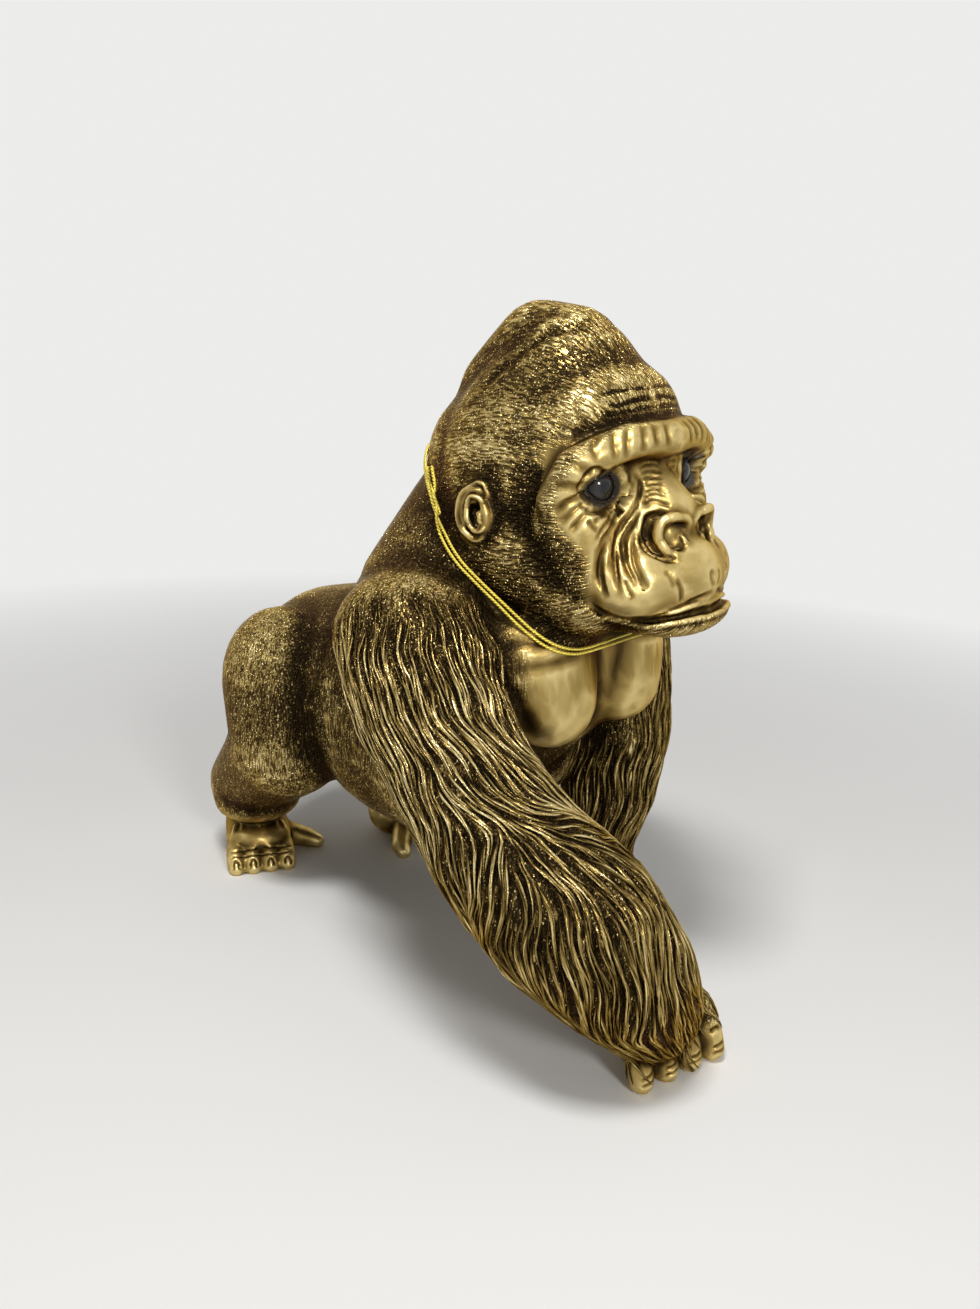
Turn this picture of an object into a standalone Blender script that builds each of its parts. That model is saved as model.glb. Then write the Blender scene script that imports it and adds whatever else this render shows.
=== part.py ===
"""A walking gorilla figurine: one resin casting finished as bronze, two inset eyes and a gold thread.

The figurine faces -Y, its own right side is -X, and it stands on z = 0. Sizes in the tables below are
millimetres, as a sculptor would note them, and MM turns them into Blender's metres.
"""

import math

import bmesh
import bpy
import numpy as np
from mathutils import Euler, Matrix, Vector
from mathutils.bvhtree import BVHTree

MM = 0.001

# How finely the clay is worked
FORM_VOXEL = 2.6 * MM
FORM_SMOOTHING = 9
DETAIL_VOXEL = 1.1 * MM
DETAIL_SMOOTHING = 3
CASTING_TRIANGLES = 10450
FACE_CARE = 0.007
SOLE_CUT = 1.2

# Head: its own frame has its origin between the ears, facing -Y
HEAD_PLACE = (0, -30, 190)
HEAD_TURN = (0, -4.5, -3)
EYE_CENTRE = (22.4, -33, 7.3)
EYE_RADIUS = 6.3
LID_WALL = 1.4


def turned(degrees):
    return Euler([math.radians(d) for d in degrees], "XYZ").to_matrix().to_4x4()


def placed(place, turn):
    return Matrix.Translation(Vector(place) * MM) @ turned(turn)


BODY_FRAME = Matrix.Identity(4)
HEAD_FRAME = placed(HEAD_PLACE, HEAD_TURN)


def lump(mesh, frame, centre, radii, turn=(0, 0, 0)):
    """One ellipsoid of clay, given by its centre, its half-sizes and its turn in degrees."""
    if not hasattr(radii, "__len__"):
        radii = (radii, radii, radii)
    matrix = frame @ placed(centre, turn) @ Matrix.Diagonal((*(r * MM for r in radii), 1))
    bmesh.ops.create_icosphere(mesh, subdivisions=3, radius=1, matrix=matrix)


def bridged(name, frame, *lumps, mirrored=False):
    """A skin stretched over a few lumps, as clay is bridged between two balls; one object for each side."""
    made = []
    for side in (1, -1) if mirrored else (1,):
        mesh = bmesh.new()
        for centre, radii, *turn in lumps:
            centre = (side * centre[0], centre[1], centre[2])
            turn = turn[0] if turn else (0, 0, 0)
            lump(mesh, frame, centre, radii, (turn[0], side * turn[1], side * turn[2]))
        hull = bmesh.ops.convex_hull(mesh, input=mesh.verts)
        inside = [v for v in hull["geom_interior"] if isinstance(v, bmesh.types.BMVert)]
        bmesh.ops.delete(mesh, geom=inside, context="VERTS")
        data = bpy.data.meshes.new(name)
        mesh.to_mesh(data)
        mesh.free()
        obj = bpy.data.objects.new(name, data)
        bpy.context.scene.collection.objects.link(obj)
        made.append(obj)
    return made


def chain(name, frame, *lumps, mirrored=False):
    """Lumps bridged one to the next, as along a limb or a brow."""
    made = []
    for first, second in zip(lumps, lumps[1:]):
        made += bridged(name, frame, first, second, mirrored=mirrored)
    return made


def torso():
    chest = ((0, -22, 130), (50, 34, 44))
    back = ((0, 8, 147), (46, 42, 41))
    belly = ((0, 34, 95), (50, 50, 52))
    rump = ((0, 92, 97), (40, 38, 38))
    neck = ((0, -6, 170), (38, 30, 32))
    nape = ((0, -10, 200), (34, 34, 30))
    made = bridged("chest_and_back", BODY_FRAME, chest, back)
    made += bridged("ribs", BODY_FRAME, back, belly)
    made += bridged("breastbone", BODY_FRAME, chest, ((0, -6, 98), (38, 26, 32)))
    made += bridged("flank", BODY_FRAME, ((17, 6, 88), (35, 34, 40)), ((16, 34, 95), (34, 44, 48)), mirrored=True)
    made += bridged("loins", BODY_FRAME, belly, rump)
    made += bridged("neck", BODY_FRAME, back, neck)
    made += bridged("nape", BODY_FRAME, neck, nape)
    trapezius = (((0, 4, 177), (31, 31, 26)), ((38, -2, 154), (24, 28, 20)))
    made += bridged("trapezius", BODY_FRAME, *trapezius, mirrored=True)
    pectoral = (((24, -41, 132), (25, 19, 24)), ((22, -49, 118), (20, 13, 17)))
    return made + bridged("pectoral", BODY_FRAME, *pectoral, mirrored=True)


def right_arm():
    return chain(
        "right_arm",
        BODY_FRAME,
        ((-58, -13, 142), (27, 28, 24)),
        ((-66, -28, 124), (25, 26, 26)),
        ((-69, -48, 104), (23, 24, 24)),
        ((-65, -66, 81), (25, 27, 25)),
        ((-54.5, -85, 61), (29, 31, 27)),
        ((-43, -97, 42), (26, 25, 23)),
        ((-30, -105, 22), (20, 14, 15)),
    )


def left_arm():
    return chain(
        "left_arm",
        BODY_FRAME,
        ((54, -10, 140), (26, 28, 25)),
        ((61, -16, 126), (24, 26, 26)),
        ((62, -22, 105), (22, 23, 24)),
        ((60, -24, 82), (22, 24, 22)),
        ((56, -24, 56), (19, 22, 20)),
        ((52, -23, 36), (17, 18, 16)),
        ((49, -26, 22), (20, 13, 13)),
    )


def hind_leg(side, hip_y, knee_y, foot):
    hip = ((side * 30, hip_y, 94), (25, 34, 36))
    knee = ((side * 36, knee_y, 70), (24, 27, 24))
    ankle = ((foot[0], foot[1], 40), (23, 22, 16))
    hem = ((foot[0], foot[1], 28), (21, 20, 9))
    return chain("hind_leg", BODY_FRAME, hip, knee, ankle, hem)


def head():
    made = bridged("skull", HEAD_FRAME, ((0, 0, 6), (43, 45, 46)), ((0, -4, 36), (25, 27, 26)))
    jowl = (((18, -2, -16), (29, 34, 26)), ((18, -28, -29), (21, 19, 16)))
    made += bridged("jowl", HEAD_FRAME, *jowl, mirrored=True)
    made += bridged("forehead", HEAD_FRAME, ((0, -20, 28), (31, 22, 19)), ((0, -28, 17), (33, 15, 10)))
    temple = (((17, -15, 18), (20, 22, 21)), ((19, -20, 4), (20, 20, 20)))
    made += bridged("temple", HEAD_FRAME, *temple, mirrored=True)
    crest = [
        ((0, 36, 10), (16, 12, 18)), ((0, 30, 32), (16, 14, 18)),
        ((0, 9, 51), (16, 15, 15)), ((0, -6, 52), (15, 14, 12)),
    ]
    return made + chain("crest", HEAD_FRAME, *crest)


def face():
    brow = [
        ((31, -27, -16), 4.5), ((35, -28, -7), 5.4), ((37.5, -29, 4), 6),
        ((35.5, -35, 15), 6.2), ((18, -42, 21), 6.2), ((0, -46, 21.5), 6),
    ]
    made = chain("brow", HEAD_FRAME, *brow, mirrored=True)
    made += bridged("nose_bridge", HEAD_FRAME, ((0, -32, 10), 10), ((0, -45, -5), 12))
    made += bridged("orbit", HEAD_FRAME, ((22, -22, 9), 13), ((22, -26, -3), 13), mirrored=True)
    made += bridged("nose_fold", HEAD_FRAME, ((10, -34, 0), 11), ((12, -40, -14), 12), mirrored=True)
    upper_lip = (((15, -43, -24), (18, 17, 15)), ((0, -54, -23), (12, 13, 14)))
    made += bridged("upper_lip", HEAD_FRAME, *upper_lip, mirrored=True)
    made += bridged("cheek", HEAD_FRAME, ((27.5, -27.5, -3), 14.5), ((23, -32, -20), 15), mirrored=True)
    made += bridged("chin", HEAD_FRAME, ((0, -51, -35), (23, 17, 9)), ((0, -20, -34), (26, 16, 12)))
    lid = EYE_RADIUS + LID_WALL
    made += bridged("lids", HEAD_FRAME, (EYE_CENTRE, lid), ((21, -27, 7), lid), mirrored=True)
    return made + bridged("nostril_wing", HEAD_FRAME, ((9, -50, -5), 6), ((9.5, -48, -12), 6.5), mirrored=True)


def ears():
    lobes = (((44, 0.5, -4), (4, 6.5, 9.5)), ((42, -2.5, -8), (4, 5.5, 9)))
    return bridged("ear", HEAD_FRAME, *lobes, mirrored=True)


def foot(side, place, splay):
    frame = placed((place[0], place[1], -SOLE_CUT), (0, 0, splay))
    made = chain("instep", frame, ((0, 8, 13), (15, 14, 13)), ((0, -10, 12), (15.5, 10, 8)))
    for across in (-11.4, -3.8, 3.8, 11.4):
        tip = across * 1.05
        made += chain("toe", frame, ((across, -15, 9), 4.6), ((tip, -22, 6), 4.4), ((tip, -25, 3.4), 3.8))
    big_toe = (((side * -12, 0, 9), 6), ((side * -24, -2, 5), 5), ((side * -29, -5, 4), 3.6))
    return made + chain("big_toe", frame, *big_toe)


def fist(place, turn):
    frame = placed((place[0], place[1], -SOLE_CUT), (0, 0, turn))
    made = []
    for across in (-16.5, -5.5, 5.5, 16.5):
        made += chain("finger", frame, ((across * 0.92, 4, 20), 5), ((across, -2, 10), 5), ((across, -4, 5), 4.7))
    return made + bridged("palm", frame, ((0, 8, 18), (20, 9, 9)), ((0, 8, 10), (18, 8, 7)))


def evaluated(obj):
    return bpy.data.meshes.new_from_object(obj.evaluated_get(bpy.context.evaluated_depsgraph_get()))


def remeshed(name, pieces, voxel, smoothing):
    """Joins overlapping pieces into one skin with even faces, and smooths the seams between them."""
    joined = bmesh.new()
    for piece in pieces:
        joined.from_mesh(piece.data)
    for piece in pieces:
        bpy.data.objects.remove(piece)
    data = bpy.data.meshes.new(name)
    joined.to_mesh(data)
    joined.free()
    obj = bpy.data.objects.new(name, data)
    bpy.context.scene.collection.objects.link(obj)
    remesh = obj.modifiers.new("one_skin", "REMESH")
    remesh.mode = "VOXEL"
    remesh.voxel_size = voxel
    smooth = obj.modifiers.new("soften", "SMOOTH")
    smooth.factor = 0.5
    smooth.iterations = smoothing
    bpy.context.view_layer.update()
    obj.data = evaluated(obj)
    obj.modifiers.clear()
    return obj


class Clay:
    """The skin while it is worked: its points, their normals, and strokes pressed in or built up on it."""

    def __init__(self, obj):
        self.mesh = obj.data
        count = len(self.mesh.vertices)
        self.points = np.empty(count * 3, dtype=np.float32)
        self.mesh.vertices.foreach_get("co", self.points)
        self.points = self.points.reshape(count, 3).astype(float)
        normals = np.empty(count * 3, dtype=np.float32)
        self.mesh.vertices.foreach_get("normal", normals)
        self.normals = normals.reshape(count, 3).astype(float)
        self.tree = BVHTree.FromPolygons(
            [tuple(point) for point in self.points], [tuple(face.vertices) for face in self.mesh.polygons]
        )
        self.height = np.zeros(count)

    def laid(self, frame, path):
        """The path's points, laid on the nearest skin."""
        return np.array([self.tree.find_nearest(frame @ (Vector(place) * MM))[0] for place in path])

    def stroke(self, path, width, rise, ends=0.5):
        """A groove (negative rise) or a ridge along a path, fading over its ends."""
        reach = width * MM
        low = path.min(axis=0) - reach
        high = path.max(axis=0) + reach
        near = np.nonzero(((self.points > low) & (self.points < high)).all(axis=1))[0]
        if not len(near):
            return
        start = path[:-1]
        step = path[1:] - start
        length = np.linalg.norm(step, axis=1)
        offset = self.points[near][:, None, :] - start[None]
        share = np.clip((offset * step).sum(axis=2) / np.maximum(length**2, 1e-12), 0, 1)
        distance = np.linalg.norm(offset - share[..., None] * step, axis=2)
        nearest = distance.argmin(axis=1)
        rows = np.arange(len(near))
        distance = distance[rows, nearest]
        along = (np.cumsum(length) - length)[nearest] + share[rows, nearest] * length[nearest]
        along = along / max(length.sum(), 1e-9)
        fade = np.clip(np.minimum(along, 1 - along) / max(ends, 1e-6), 0, 1) if ends else 1
        fade = np.sin(fade * math.pi / 2)
        amount = np.clip(1 - (distance / reach) ** 2, 0, 1) ** 2 * fade * rise * MM
        if rise < 0:
            self.height[near] = np.minimum(self.height[near], amount)
        else:
            self.height[near] = np.maximum(self.height[near], amount)

    def apply(self):
        points = self.points + self.normals * self.height[:, None]
        self.mesh.vertices.foreach_set("co", points.astype(np.float32).ravel())
        self.mesh.update()


SOCKET_CLEARANCE = 0.3
LID_OPENING = 5.6
LID_FLARE = 0.6
LID_HEIGHT_SHARE = 0.82
EYE_OUTWARD = 12

# Strokes on the face's right side, in the head's frame: width, rise, share faded at the ends, points.
# The left side mirrors them.
FACE_HOLLOWS = {
    "eye_hollow": (3, -1.4, 0, None),
    "nostril_dip": (4.5, -1.2, 0, ((-10, -55, -7.5), (-9, -56, -9))),
    "crest_furrow": (5, -1, 0.3, (
        (-27, 16, 34), (-26.4, 7.7, 41.4), (-22.7, 5, 46.3), (-19.6, -1.6, 51.3),
        (-15.9, -7.6, 54.9), (-12.7, -11.6, 56.4), (-7.5, -17.3, 56.9))),
    "under_brow": (4, -1, 0.4, ((-33, -35, 8), (-25, -41, 14), (-12, -46, 15), (-4, -48, 15))),
}
FACE_GROOVES = {
    "fold_outer": (2.4, -1.6, 0.3, (
        (-15.9, -41.5, 5.3), (-20.6, -40.5, -0.9), (-25.1, -39.9, -6.3), (-30.3, -41.3, -12),
        (-32, -42.8, -18.3), (-32.4, -45.4, -25.5))),
    "fold_middle": (2.4, -2, 0.3, (
        (-14.2, -44, 2.8), (-20.1, -42.8, -3.3), (-24.5, -42.6, -10.3), (-28.9, -45.5, -15),
        (-31.1, -49.5, -21.6), (-29.9, -51.8, -25.8))),
    "fold_inner": (2.4, -2, 0.3, (
        (-13.3, -45.5, 0.7), (-19.1, -45.2, -4.8), (-22.9, -45.9, -10.9), (-27.8, -50.6, -16.2),
        (-27.9, -54.2, -21.5), (-25.7, -56.3, -25))),
    "fold_muzzle": (2.6, -1.3, 0.4, (
        (-19.1, -48.5, -9.5), (-24.6, -51.5, -14.1), (-26.5, -54.6, -19.2), (-24.3, -57.2, -23.4))),
    "wing_groove": (2.4, -2.4, 0.2, (
        (-6.9, -52.2, 1.4), (-12.3, -49.9, 0.6), (-16.1, -49.7, -4), (-18.1, -50.3, -8.6),
        (-17.8, -53, -12.3), (-14.7, -56.9, -15), (-10.2, -59, -15.4))),
    "nostril": (2.3, -3.2, 0.2, (
        (-2.4, -56.6, -6.5), (-9.1, -55.7, -5), (-11.2, -54.7, -8.2), (-10, -55.6, -11.4), (-6.2, -58.6, -12.2))),
    "mouth": (2, -2, 0.15, (
        (-33.1, -40.2, -28.5), (-30.4, -43.5, -31.5), (-26.3, -48.9, -34.1), (-21.2, -56.5, -34.2),
        (-14.7, -63.1, -32.7), (-5.6, -66.1, -31.9), (4, -66.5, -32))),
    "ear_hollow": (2.6, -2.6, 0.2, ((-47.1, 1.5, 2), (-46.5, -0.5, -1), (-46.2, -1, -4.8), (-46.8, 0, -8))),
    "forehead_1": (1.8, -0.8, 0.4, ((-14.7, -32, 35.6), (-4.2, -34, 37), (2, -34, 37))),
    "forehead_2": (1.8, -0.8, 0.4, ((-16, -34, 32), (-2, -37, 33.5), (2, -37, 33.5))),
}
FACE_RIDGES = {
    "lid": (1.8, 0.5, 0, None),
    "nostril_rim": (2.4, 1.7, 0.3, (
        (-4, -56.7, -3), (-9.8, -55.4, -1.6), (-14.2, -53.2, -4.1),
        (-15.4, -52.6, -9.8), (-14, -56, -13.4), (-10.3, -58.9, -14))),
    "ear_rim": (1.8, 1.2, 0.2, (
        (-44, -4, -11), (-45, -6, -2), (-45, -4, 5), (-45, 1, 7), (-45, 6, 3), (-45, 7, -4), (-45, 3, -11))),
}
CHEST_GROOVES = (
    (4, -1.8, 0.3, ((-5, -56, 142), (-4, -55, 132), (-2, -54.8, 120), (1, -50.6, 108), (2, -44, 100))),
    (4, -1.5, 0.3, ((-52, -44, 140), (-45, -50, 122), (-38, -54, 108))),
    (4, -1.5, 0.3, ((48, -38, 140), (44, -46, 122), (38, -50, 108))),
)

# The lie of the hair on each arm, as guide lines from the shoulder to the fist
RIGHT_HAIR = (
    ((-80.6, -12.9, 154), (-85.8, -16, 141), (-89.3, -22.5, 129.5), (-91, -33.4, 117.7), (-91, -50, 98)),
    ((-78, -20.6, 156), (-84, -27, 144), (-88, -35, 132), (-89, -45, 122), (-88, -56, 114), (-85, -66, 106)),
    ((-72, -27, 158), (-78, -35, 147), (-82.6, -43, 136), (-83, -52, 126), (-81, -62, 118), (-78.6, -69, 112)),
    ((-63.6, -34, 156), (-68, -42, 146), (-71, -50, 137), (-73, -58, 127), (-71, -65, 120), (-66, -72, 112.5)),
    ((-50, -35.6, 153), (-53, -43.6, 142), (-59, -52, 134), (-64, -60, 125.6), (-61, -66, 118), (-54, -72, 108)),
    ((-86, -43, 130), (-87.5, -51, 120), (-87, -60, 112), (-85.5, -68, 104), (-83, -75, 100)),
    ((-88, -42, 127), (-90, -49, 115), (-91, -54, 103), (-90, -58, 90), (-88, -61, 80)),
    ((-90.6, -56, 102), (-89, -58, 87), (-86, -62, 73), (-80, -68, 58), (-72, -74, 44)),
    ((-83, -75.6, 97.7), (-85, -77, 90.6), (-87, -76, 80.7), (-85, -71, 67.6), (-80, -68.5, 58)),
    ((-83, -77, 95), (-85, -79.5, 85), (-86, -78, 74), (-83, -76, 60.6), (-80, -80, 52)),
    ((-81, -80, 95), (-81, -85, 85), (-81.5, -88, 75), (-82, -88, 64.5), (-79, -88, 51)),
    ((-82, -76, 99), (-79, -83, 94), (-74, -90, 88), (-69.5, -96.5, 80), (-68, -101.5, 72), (-67, -106, 55)),
    ((-80, -80, 97), (-76, -87, 91), (-73.5, -93, 83.5), (-73.6, -96, 76), (-74, -99, 68.5), (-74, -100.5, 60), (-71, -102, 49)),
    ((-81, -77, 99), (-74, -85, 96), (-65, -90, 92), (-53, -94, 83), (-47, -99, 74), (-50, -105, 67), (-51, -109, 58), (-54.5, -111, 52)),
    ((-71, -83, 100), (-58, -87, 95), (-44, -90, 84), (-36, -96, 70), (-34, -104, 56), (-34, -110, 44)),
    ((-82, -49, 130), (-82, -61, 119), (-78.5, -70.5, 110), (-74, -79, 103), (-64, -85, 98.5)),
    ((-71, -58, 127), (-71, -66, 119), (-68, -72, 113), (-61, -76.5, 107), (-54.5, -79, 100.5)),
    ((-80, -79, 52.6), (-73.6, -84.5, 42), (-64, -92, 32), (-54, -98, 22)),
    ((-73, -100, 67), (-71, -103, 56), (-68, -104, 44), (-62, -105, 32), (-54, -108, 22)),
    ((-62.6, -107, 61), (-60.5, -109.5, 50), (-58, -111, 40), (-57, -110, 32), (-48, -112, 22)),
    ((-50, -112, 49), (-49, -114, 41), (-44, -116, 33), (-36, -118, 24)),
    ((-46, -40, 124), (-46, -58, 100), (-38, -70, 80), (-32, -80, 60), (-24, -92, 42), (-16, -102, 28)),
    ((-70, 12, 142), (-84, 0, 120), (-90, -22, 100), (-84, -42, 80), (-72, -56, 58), (-58, -70, 38)),
    ((-58, -20, 100), (-54, -44, 78), (-46, -62, 56), (-38, -76, 36)),
)
LEFT_HAIR = (
    ((62, -38, 142), (66, -43, 112), (62, -46, 86), (58, -44, 60), (54, -42, 40), (50, -40, 26)),
    ((80, -24, 142), (84, -26, 114), (80, -30, 86), (74, -30, 60), (68, -30, 40), (62, -32, 26)),
    ((76, 4, 140), (80, -4, 112), (76, -8, 86), (70, -10, 58), (62, -12, 36)),
    ((54, 14, 136), (58, 4, 108), (56, 0, 84), (52, -4, 58), (48, -6, 36)),
    ((40, -32, 108), (39, -30, 84), (38, -29, 60), (36, -28, 38)),
)

FACE_BOX = ((-40, -80, -42), (40, -33, 24))

LOCK_SPACING = 5.2
LOCK_WIDTH = 2.5
LOCK_DEPTH = 1.7
LOCK_STEP = 3.0
LOCK_STEPS = 9
LOCK_REACH = 15.0
LOCK_LOWEST = 15.0
CHEST_BARE = (47, -24, 88)

# Gold thread, tied round the neck in two turns; its loop lies in a plane that falls towards the throat
THREAD_RADIUS = 0.42
THREAD_GAP = 0.3
LOOP_CENTRE = (0, -20, 170.5)
LOOP_FALL = 0.78
LOOP_POINTS = 46
KNOT_BEARING = 168.0
TURN_SPACING = 1.25
FIRST_TAIL = ((1.5, 0, 17), (3.5, 0, 14), (1.8, 1, 10), (2.5, 1.5, 6), (1.4, 1, 2.5))
LAST_TAIL = ((1.5, -1.5, 3), (3, -3, 8), (2.5, -4, 13), (4, -4.5, 18), (3.4, -4, 23))


def carve_face(clay, strokes):
    for name, (width, rise, ends, path) in strokes.items():
        for side in (1, -1):
            if name == "lid":
                path = eye_ring(6.8)
            elif name == "eye_hollow":
                path = eye_ring(9.6)
            clay.stroke(clay.laid(HEAD_FRAME, [(side * x, y, z) for x, y, z in path]), width, rise, ends)


def eye_ring(radius):
    """Points round the right eye, on a circle that faces forward and a little outward."""
    ring = []
    for step in range(25):
        angle = math.tau * step / 24
        across = radius * math.cos(angle)
        height = EYE_CENTRE[2] + radius * 0.94 * math.sin(angle)
        ring.append((-EYE_CENTRE[0] + across, EYE_CENTRE[1] - 5 - 0.16 * across, height))
    return ring


def bare_chest(places):
    """Whether places lie on the smooth breast, between the arms."""
    width, front, low = CHEST_BARE
    across = np.abs(places[:, 0]) < width * MM
    return across & (places[:, 1] < front * MM) & (places[:, 2] > low * MM)


def comb_locks(clay, guides, seed):
    """Grooves between the locks of hair: lines that follow the nearest guides over the skin, evenly spaced."""
    starts = np.concatenate([np.array(line[:-1]) for line in guides]) * MM
    ends = np.concatenate([np.array(line[1:]) for line in guides]) * MM
    middles = (starts + ends) / 2
    steps = ends - starts
    steps = steps / np.linalg.norm(steps, axis=1)[:, None]

    def flow(place, normal):
        nearness = 1 / (((middles - place) ** 2).sum(axis=1) + (3 * MM) ** 2) ** 2
        lie = (steps * nearness[:, None]).sum(axis=0)
        lie = lie - normal * (lie @ normal)
        return lie / max(np.linalg.norm(lie), 1e-9)

    reach = np.min(((clay.points[:, None, :] - middles[None]) ** 2).sum(axis=2), axis=1) ** 0.5
    hairy = (reach < LOCK_REACH * MM) & (clay.points[:, 2] > LOCK_LOWEST * MM)
    hairy = np.nonzero(hairy & ~bare_chest(clay.points))[0]
    order = np.random.default_rng(seed).permutation(hairy)
    taken = np.zeros((0, 3))
    lines = []
    for index in order:
        seed_place = clay.points[index]
        if len(taken) and np.min(((taken - seed_place) ** 2).sum(axis=1)) < (LOCK_SPACING * MM) ** 2:
            continue
        line = [seed_place]
        for way in (1, -1):
            place = seed_place
            normal = clay.normals[index]
            for _ in range(LOCK_STEPS):
                ahead = place + flow(place, normal) * LOCK_STEP * MM * way
                found = clay.tree.find_nearest(Vector(ahead))
                place = np.array(found[0])
                normal = np.array(found[1])
                too_low = place[2] < LOCK_LOWEST * MM
                too_far = np.min(((middles - place) ** 2).sum(axis=1)) > (LOCK_REACH * MM) ** 2
                crowded = len(taken) and np.min(((taken - place) ** 2).sum(axis=1)) < (LOCK_SPACING * 0.55 * MM) ** 2
                if too_low or too_far or crowded or bare_chest(place[None])[0]:
                    break
                line = line + [place] if way == 1 else [place] + line
        if len(line) > 3:
            lines.append(np.array(line))
            taken = np.concatenate([taken, lines[-1]])
    for line in lines:
        clay.stroke(line, LOCK_WIDTH, -LOCK_DEPTH, 0.35)
    return lines


def shape(name, build):
    """A new object whose mesh is built by one function."""
    mesh = bmesh.new()
    build(mesh)
    data = bpy.data.meshes.new(name)
    mesh.to_mesh(data)
    mesh.free()
    obj = bpy.data.objects.new(name, data)
    bpy.context.scene.collection.objects.link(obj)
    return obj


def ball(name, frame, centre, radius, segments, rings):
    turn = placed(centre, (90, 0, 0))
    return shape(
        name,
        lambda mesh: bmesh.ops.create_uvsphere(
            mesh, u_segments=segments, v_segments=rings, radius=radius * MM, matrix=frame @ turn
        ),
    )


def lid_opening(name, side, centre):
    """The cutter that parts the eyelids: a funnel in front of the eye, flared outward."""
    deep = LID_OPENING * 2.2
    start = Matrix.Translation((0, 0, (EYE_RADIUS * 0.45 + deep / 2) * MM))
    start = start @ Matrix.Diagonal((1, LID_HEIGHT_SHARE, 1, 1))
    return shape(
        name,
        lambda mesh: bmesh.ops.create_cone(
            mesh, cap_ends=True, segments=24, radius1=LID_OPENING * MM, radius2=(LID_OPENING + LID_FLARE) * MM,
            depth=deep * MM, matrix=HEAD_FRAME @ placed(centre, (90, 0, side * EYE_OUTWARD)) @ start
        ),
    )


def cut(target, cutter):
    """Cuts one shape out of another and keeps the cutter aside, as a wire frame."""
    modifier = target.modifiers.new(cutter.name, "BOOLEAN")
    modifier.operation = "DIFFERENCE"
    modifier.solver = "EXACT"
    modifier.object = cutter
    bpy.context.view_layer.update()
    target.data = evaluated(target)
    target.modifiers.clear()
    cutter.hide_render = True
    cutter.display_type = "WIRE"


def hull(points):
    """Convex hull of flat points, in order, so that a taut thread spans the hollows."""
    points = sorted(set(points))

    def half(run):
        kept = []
        for place in run:
            while len(kept) > 1:
                (ax, ay), (bx, by) = kept[-2:]
                if (bx - ax) * (place[1] - ay) - (by - ay) * (place[0] - ax) > 0:
                    break
                kept.pop()
            kept.append(place)
        return kept[:-1]

    return half(points) + half(reversed(points))


def outline_reach(outline, bearing):
    """How far a convex outline lies from its origin in one direction."""
    dx = math.cos(bearing)
    dy = math.sin(bearing)
    reach = 0
    for (ax, ay), (bx, by) in zip(outline, outline[1:] + outline[:1]):
        ex = bx - ax
        ey = by - ay
        turn = dx * ey - dy * ex
        if abs(turn) < 1e-15:
            continue
        share = (dy * ax - dx * ay) / turn
        if -1e-9 <= share <= 1 + 1e-9:
            reach = max(reach, (ax + ex * share) * dx + (ay + ey * share) * dy)
    return reach


def thin_out(body):
    """Fewer faces: the face keeps more of them than the coat, by a group of weights."""
    group = body.vertex_groups.new(name="coat")
    to_head = HEAD_FRAME.inverted()
    face_low, face_high = FACE_BOX
    for vertex in body.data.vertices:
        place = (to_head @ vertex.co) / MM
        in_face = all(low < value < high for low, value, high in zip(face_low, place, face_high))
        group.add([vertex.index], 0.5 if in_face else 1, "REPLACE")
    decimate = body.modifiers.new("fewer_faces", "DECIMATE")
    decimate.ratio = CASTING_TRIANGLES / sum(len(face.vertices) - 2 for face in body.data.polygons)
    decimate.vertex_group = group.name
    decimate.vertex_group_factor = FACE_CARE
    decimate.use_collapse_triangulate = True
    bpy.context.view_layer.update()
    body.data = evaluated(body)
    body.modifiers.clear()
    body.vertex_groups.clear()


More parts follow.
